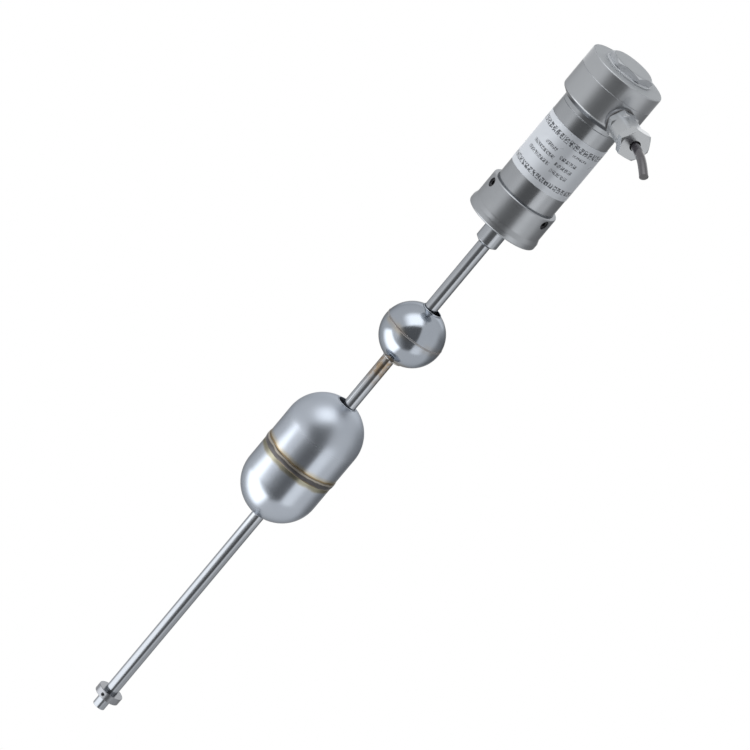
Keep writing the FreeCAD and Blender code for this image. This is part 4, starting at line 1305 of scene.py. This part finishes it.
def lay_floor():
    bpy.ops.object.select_all(action="DESELECT")
    bpy.ops.mesh.primitive_plane_add(size=FLOOR_SIZE, location=(0, 0, FLOOR_HEIGHT))
    floor = new_piece("studio_floor")
    material = bpy.data.materials.new("white_floor")
    material.use_nodes = True
    tree = material.node_tree
    matt = tree.nodes["Principled BSDF"]
    matt.inputs["Base Color"].default_value = FLOOR_GREY
    matt.inputs["Roughness"].default_value = 0.9
    white = tree.nodes.new("ShaderNodeEmission")
    white.inputs["Strength"].default_value = 1.0
    surface = tree.nodes["Material Output"].inputs["Surface"]
    show_by_ray(tree, matt.outputs["BSDF"], white.outputs["Emission"], surface)
    floor.data.materials.append(material)


def from_camera_side(side, rise):
    """Turn towards a spot at an angle to the right of the camera and above it, as the picture sees it."""
    camera = bpy.context.scene.camera
    sideways = Quaternion((0, 1, 0), math.radians(side))
    upwards = Quaternion((1, 0, 0), math.radians(-rise))
    return camera.rotation_quaternion @ sideways @ upwards


def faded_share(finish, edges, slant):
    """1 within a card and 0 at its edges, which fade over shares of its width and height.

    A slant takes that share off the right side at the bottom, or at the top when it is negative.
    """
    left, right, bottom, top = edges
    parts = finish.node("ShaderNodeSeparateXYZ")
    finish.join(finish.place, parts.inputs["Vector"])
    across, upwards = parts.outputs["X"], parts.outputs["Y"]
    way = -1.0 if slant > 0 else 1.0
    far = finish.calc("ADD", 0.5, finish.calc("MULTIPLY", upwards, way))
    slanted = finish.calc("ADD", across, finish.calc("MULTIPLY", far, abs(slant)))
    shares = (
        finish.span(across, -0.5, -0.5 + left, 0.0, 1.0),
        finish.span(slanted, 0.5 - right, 0.5, 1.0, 0.0),
        finish.span(upwards, -0.5, -0.5 + bottom, 0.0, 1.0),
        finish.span(upwards, 0.5 - top, 0.5, 1.0, 0.0),
    )
    share = shares[0]
    for other in shares[1:]:
        share = finish.calc("MULTIPLY", share, other)
    return share


def studio_only(card, strength, edges=None, slant=0.0):
    """Make a stage piece glow in reflections alone."""
    finish = Finish(card.name)
    tree = finish.tree
    tree.nodes.remove(finish.shader)
    glow = finish.node("ShaderNodeEmission")
    glow.inputs["Strength"].default_value = strength
    surface = glow.outputs["Emission"]
    if edges:
        mix = finish.node("ShaderNodeMixShader")
        finish.join(faded_share(finish, edges, slant), mix.inputs["Fac"])
        finish.join(finish.node("ShaderNodeBsdfTransparent").outputs["BSDF"], mix.inputs[1])
        finish.join(surface, mix.inputs[2])
        surface = mix.outputs["Shader"]
    finish.join(surface, tree.nodes["Material Output"].inputs["Surface"])
    card.data.materials.append(finish.material)
    card.visible_camera = False
    card.visible_diffuse = False
    card.visible_shadow = False


def hang_card(
    name, sides, rises, strength, edges, about=VIEW_TARGET, distance=CARD_DISTANCE, slant=0.0
):
    """Hang a card round a point so that it fills a range of angles to the side and upwards."""
    side = sum(sides) / 2
    rise = sum(rises) / 2
    facing = from_camera_side(side, rise)
    bpy.ops.object.select_all(action="DESELECT")
    bpy.ops.mesh.primitive_plane_add(size=1.0, location=about + facing @ Vector((0, 0, distance)))
    card = bpy.context.object
    card.name = name
    card.rotation_mode = "QUATERNION"
    card.rotation_quaternion = facing
    card.scale = (
        2 * distance * math.tan(math.radians(sides[1] - sides[0]) / 2) * math.cos(math.radians(rise)),
        2 * distance * math.tan(math.radians(rises[1] - rises[0]) / 2),
        1.0,
    )
    studio_only(card, strength, edges, slant)


def hang_cards():
    bpy.ops.object.select_all(action="DESELECT")
    bpy.ops.mesh.primitive_uv_sphere_add(
        segments=48, ring_count=24, radius=TENT_RADIUS, location=VIEW_TARGET
    )
    studio_only(new_piece("studio_tent"), TENT_STRENGTH)
    hang_card(
        "white_card",
        sides=(-124.0, -45.0),
        rises=(-50.0, 26.0),
        strength=2.3,
        edges=(0.42, 0.12, 0.2, 0.15),
        about=Vector(lean_centre(CAPSULE_LEAN, CAPSULE_HEIGHT)) * MM,
        distance=0.7,
        slant=-0.28,
    )
    hang_card(
        "top_card",
        sides=(-44.0, 60.0),
        rises=(29.0, 84.0),
        strength=2.0,
        edges=(0.42, 0.2, 0.1, 0.42),
        about=Vector(lean_centre(BALL_LEAN, BALL_HEIGHT)) * MM,
        distance=1.3,
    )
    hang_card(
        "dark_card",
        sides=(-58.0, 46.0),
        rises=(-62.0, 30.0),
        strength=0.14,
        edges=(0.4, 0.05, 0.2, 0.05),
        slant=0.55,
    )
    hang_card(
        "left_card",
        sides=(-90.0, -36.0),
        rises=(-16.0, 28.0),
        strength=0.85,
        edges=(0.4, 0.3, 0.4, 0.4),
        distance=1.6,
    )
    hang_card(
        "foot_card",
        sides=(-8.0, 62.0),
        rises=(-74.0, -30.0),
        strength=1.15,
        edges=(0.3, 0.5, 0.2, 0.5),
        distance=1.6,
    )
    hang_card(
        "back_card",
        sides=(84.0, 174.0),
        rises=(-62.0, 12.0),
        strength=0.3,
        edges=(0.4, 0.3, 0.35, 0.35),
        distance=1.5,
    )
    hang_card(
        "lid_card",
        sides=(112.0, 196.0),
        rises=(4.0, 56.0),
        strength=1.15,
        edges=(0.2, 0.2, 0.2, 0.2),
        distance=1.5,
    )


def add_lamp(name, side, rise, power):
    bpy.ops.object.select_all(action="DESELECT")
    facing = from_camera_side(side, rise)
    bpy.ops.object.light_add(type="AREA", location=VIEW_TARGET + facing @ Vector((0, 0, LAMP_DISTANCE)))
    lamp = bpy.context.object
    lamp.name = name
    lamp.rotation_mode = "QUATERNION"
    lamp.rotation_quaternion = facing
    lamp.data.shape = "DISK"
    lamp.data.size = LAMP_SIZE
    lamp.data.energy = power
    lamp.visible_camera = False
    lamp.visible_glossy = False


bpy.context.scene.view_settings.view_transform = "Standard"
set_camera()
lay_cable()
finish_solids()
make_collar()
make_clamp_screws()
make_neck()
make_barrel()
make_label()
make_casing()
make_lid()
make_gland()
make_rod()
make_stop()
make_ball()
make_capsule()
light_world()
lay_floor()
hang_cards()
add_lamp("key_lamp", side=-60.0, rise=40.0, power=60.0)
add_lamp("fill_lamp", side=60.0, rise=25.0, power=20.0)
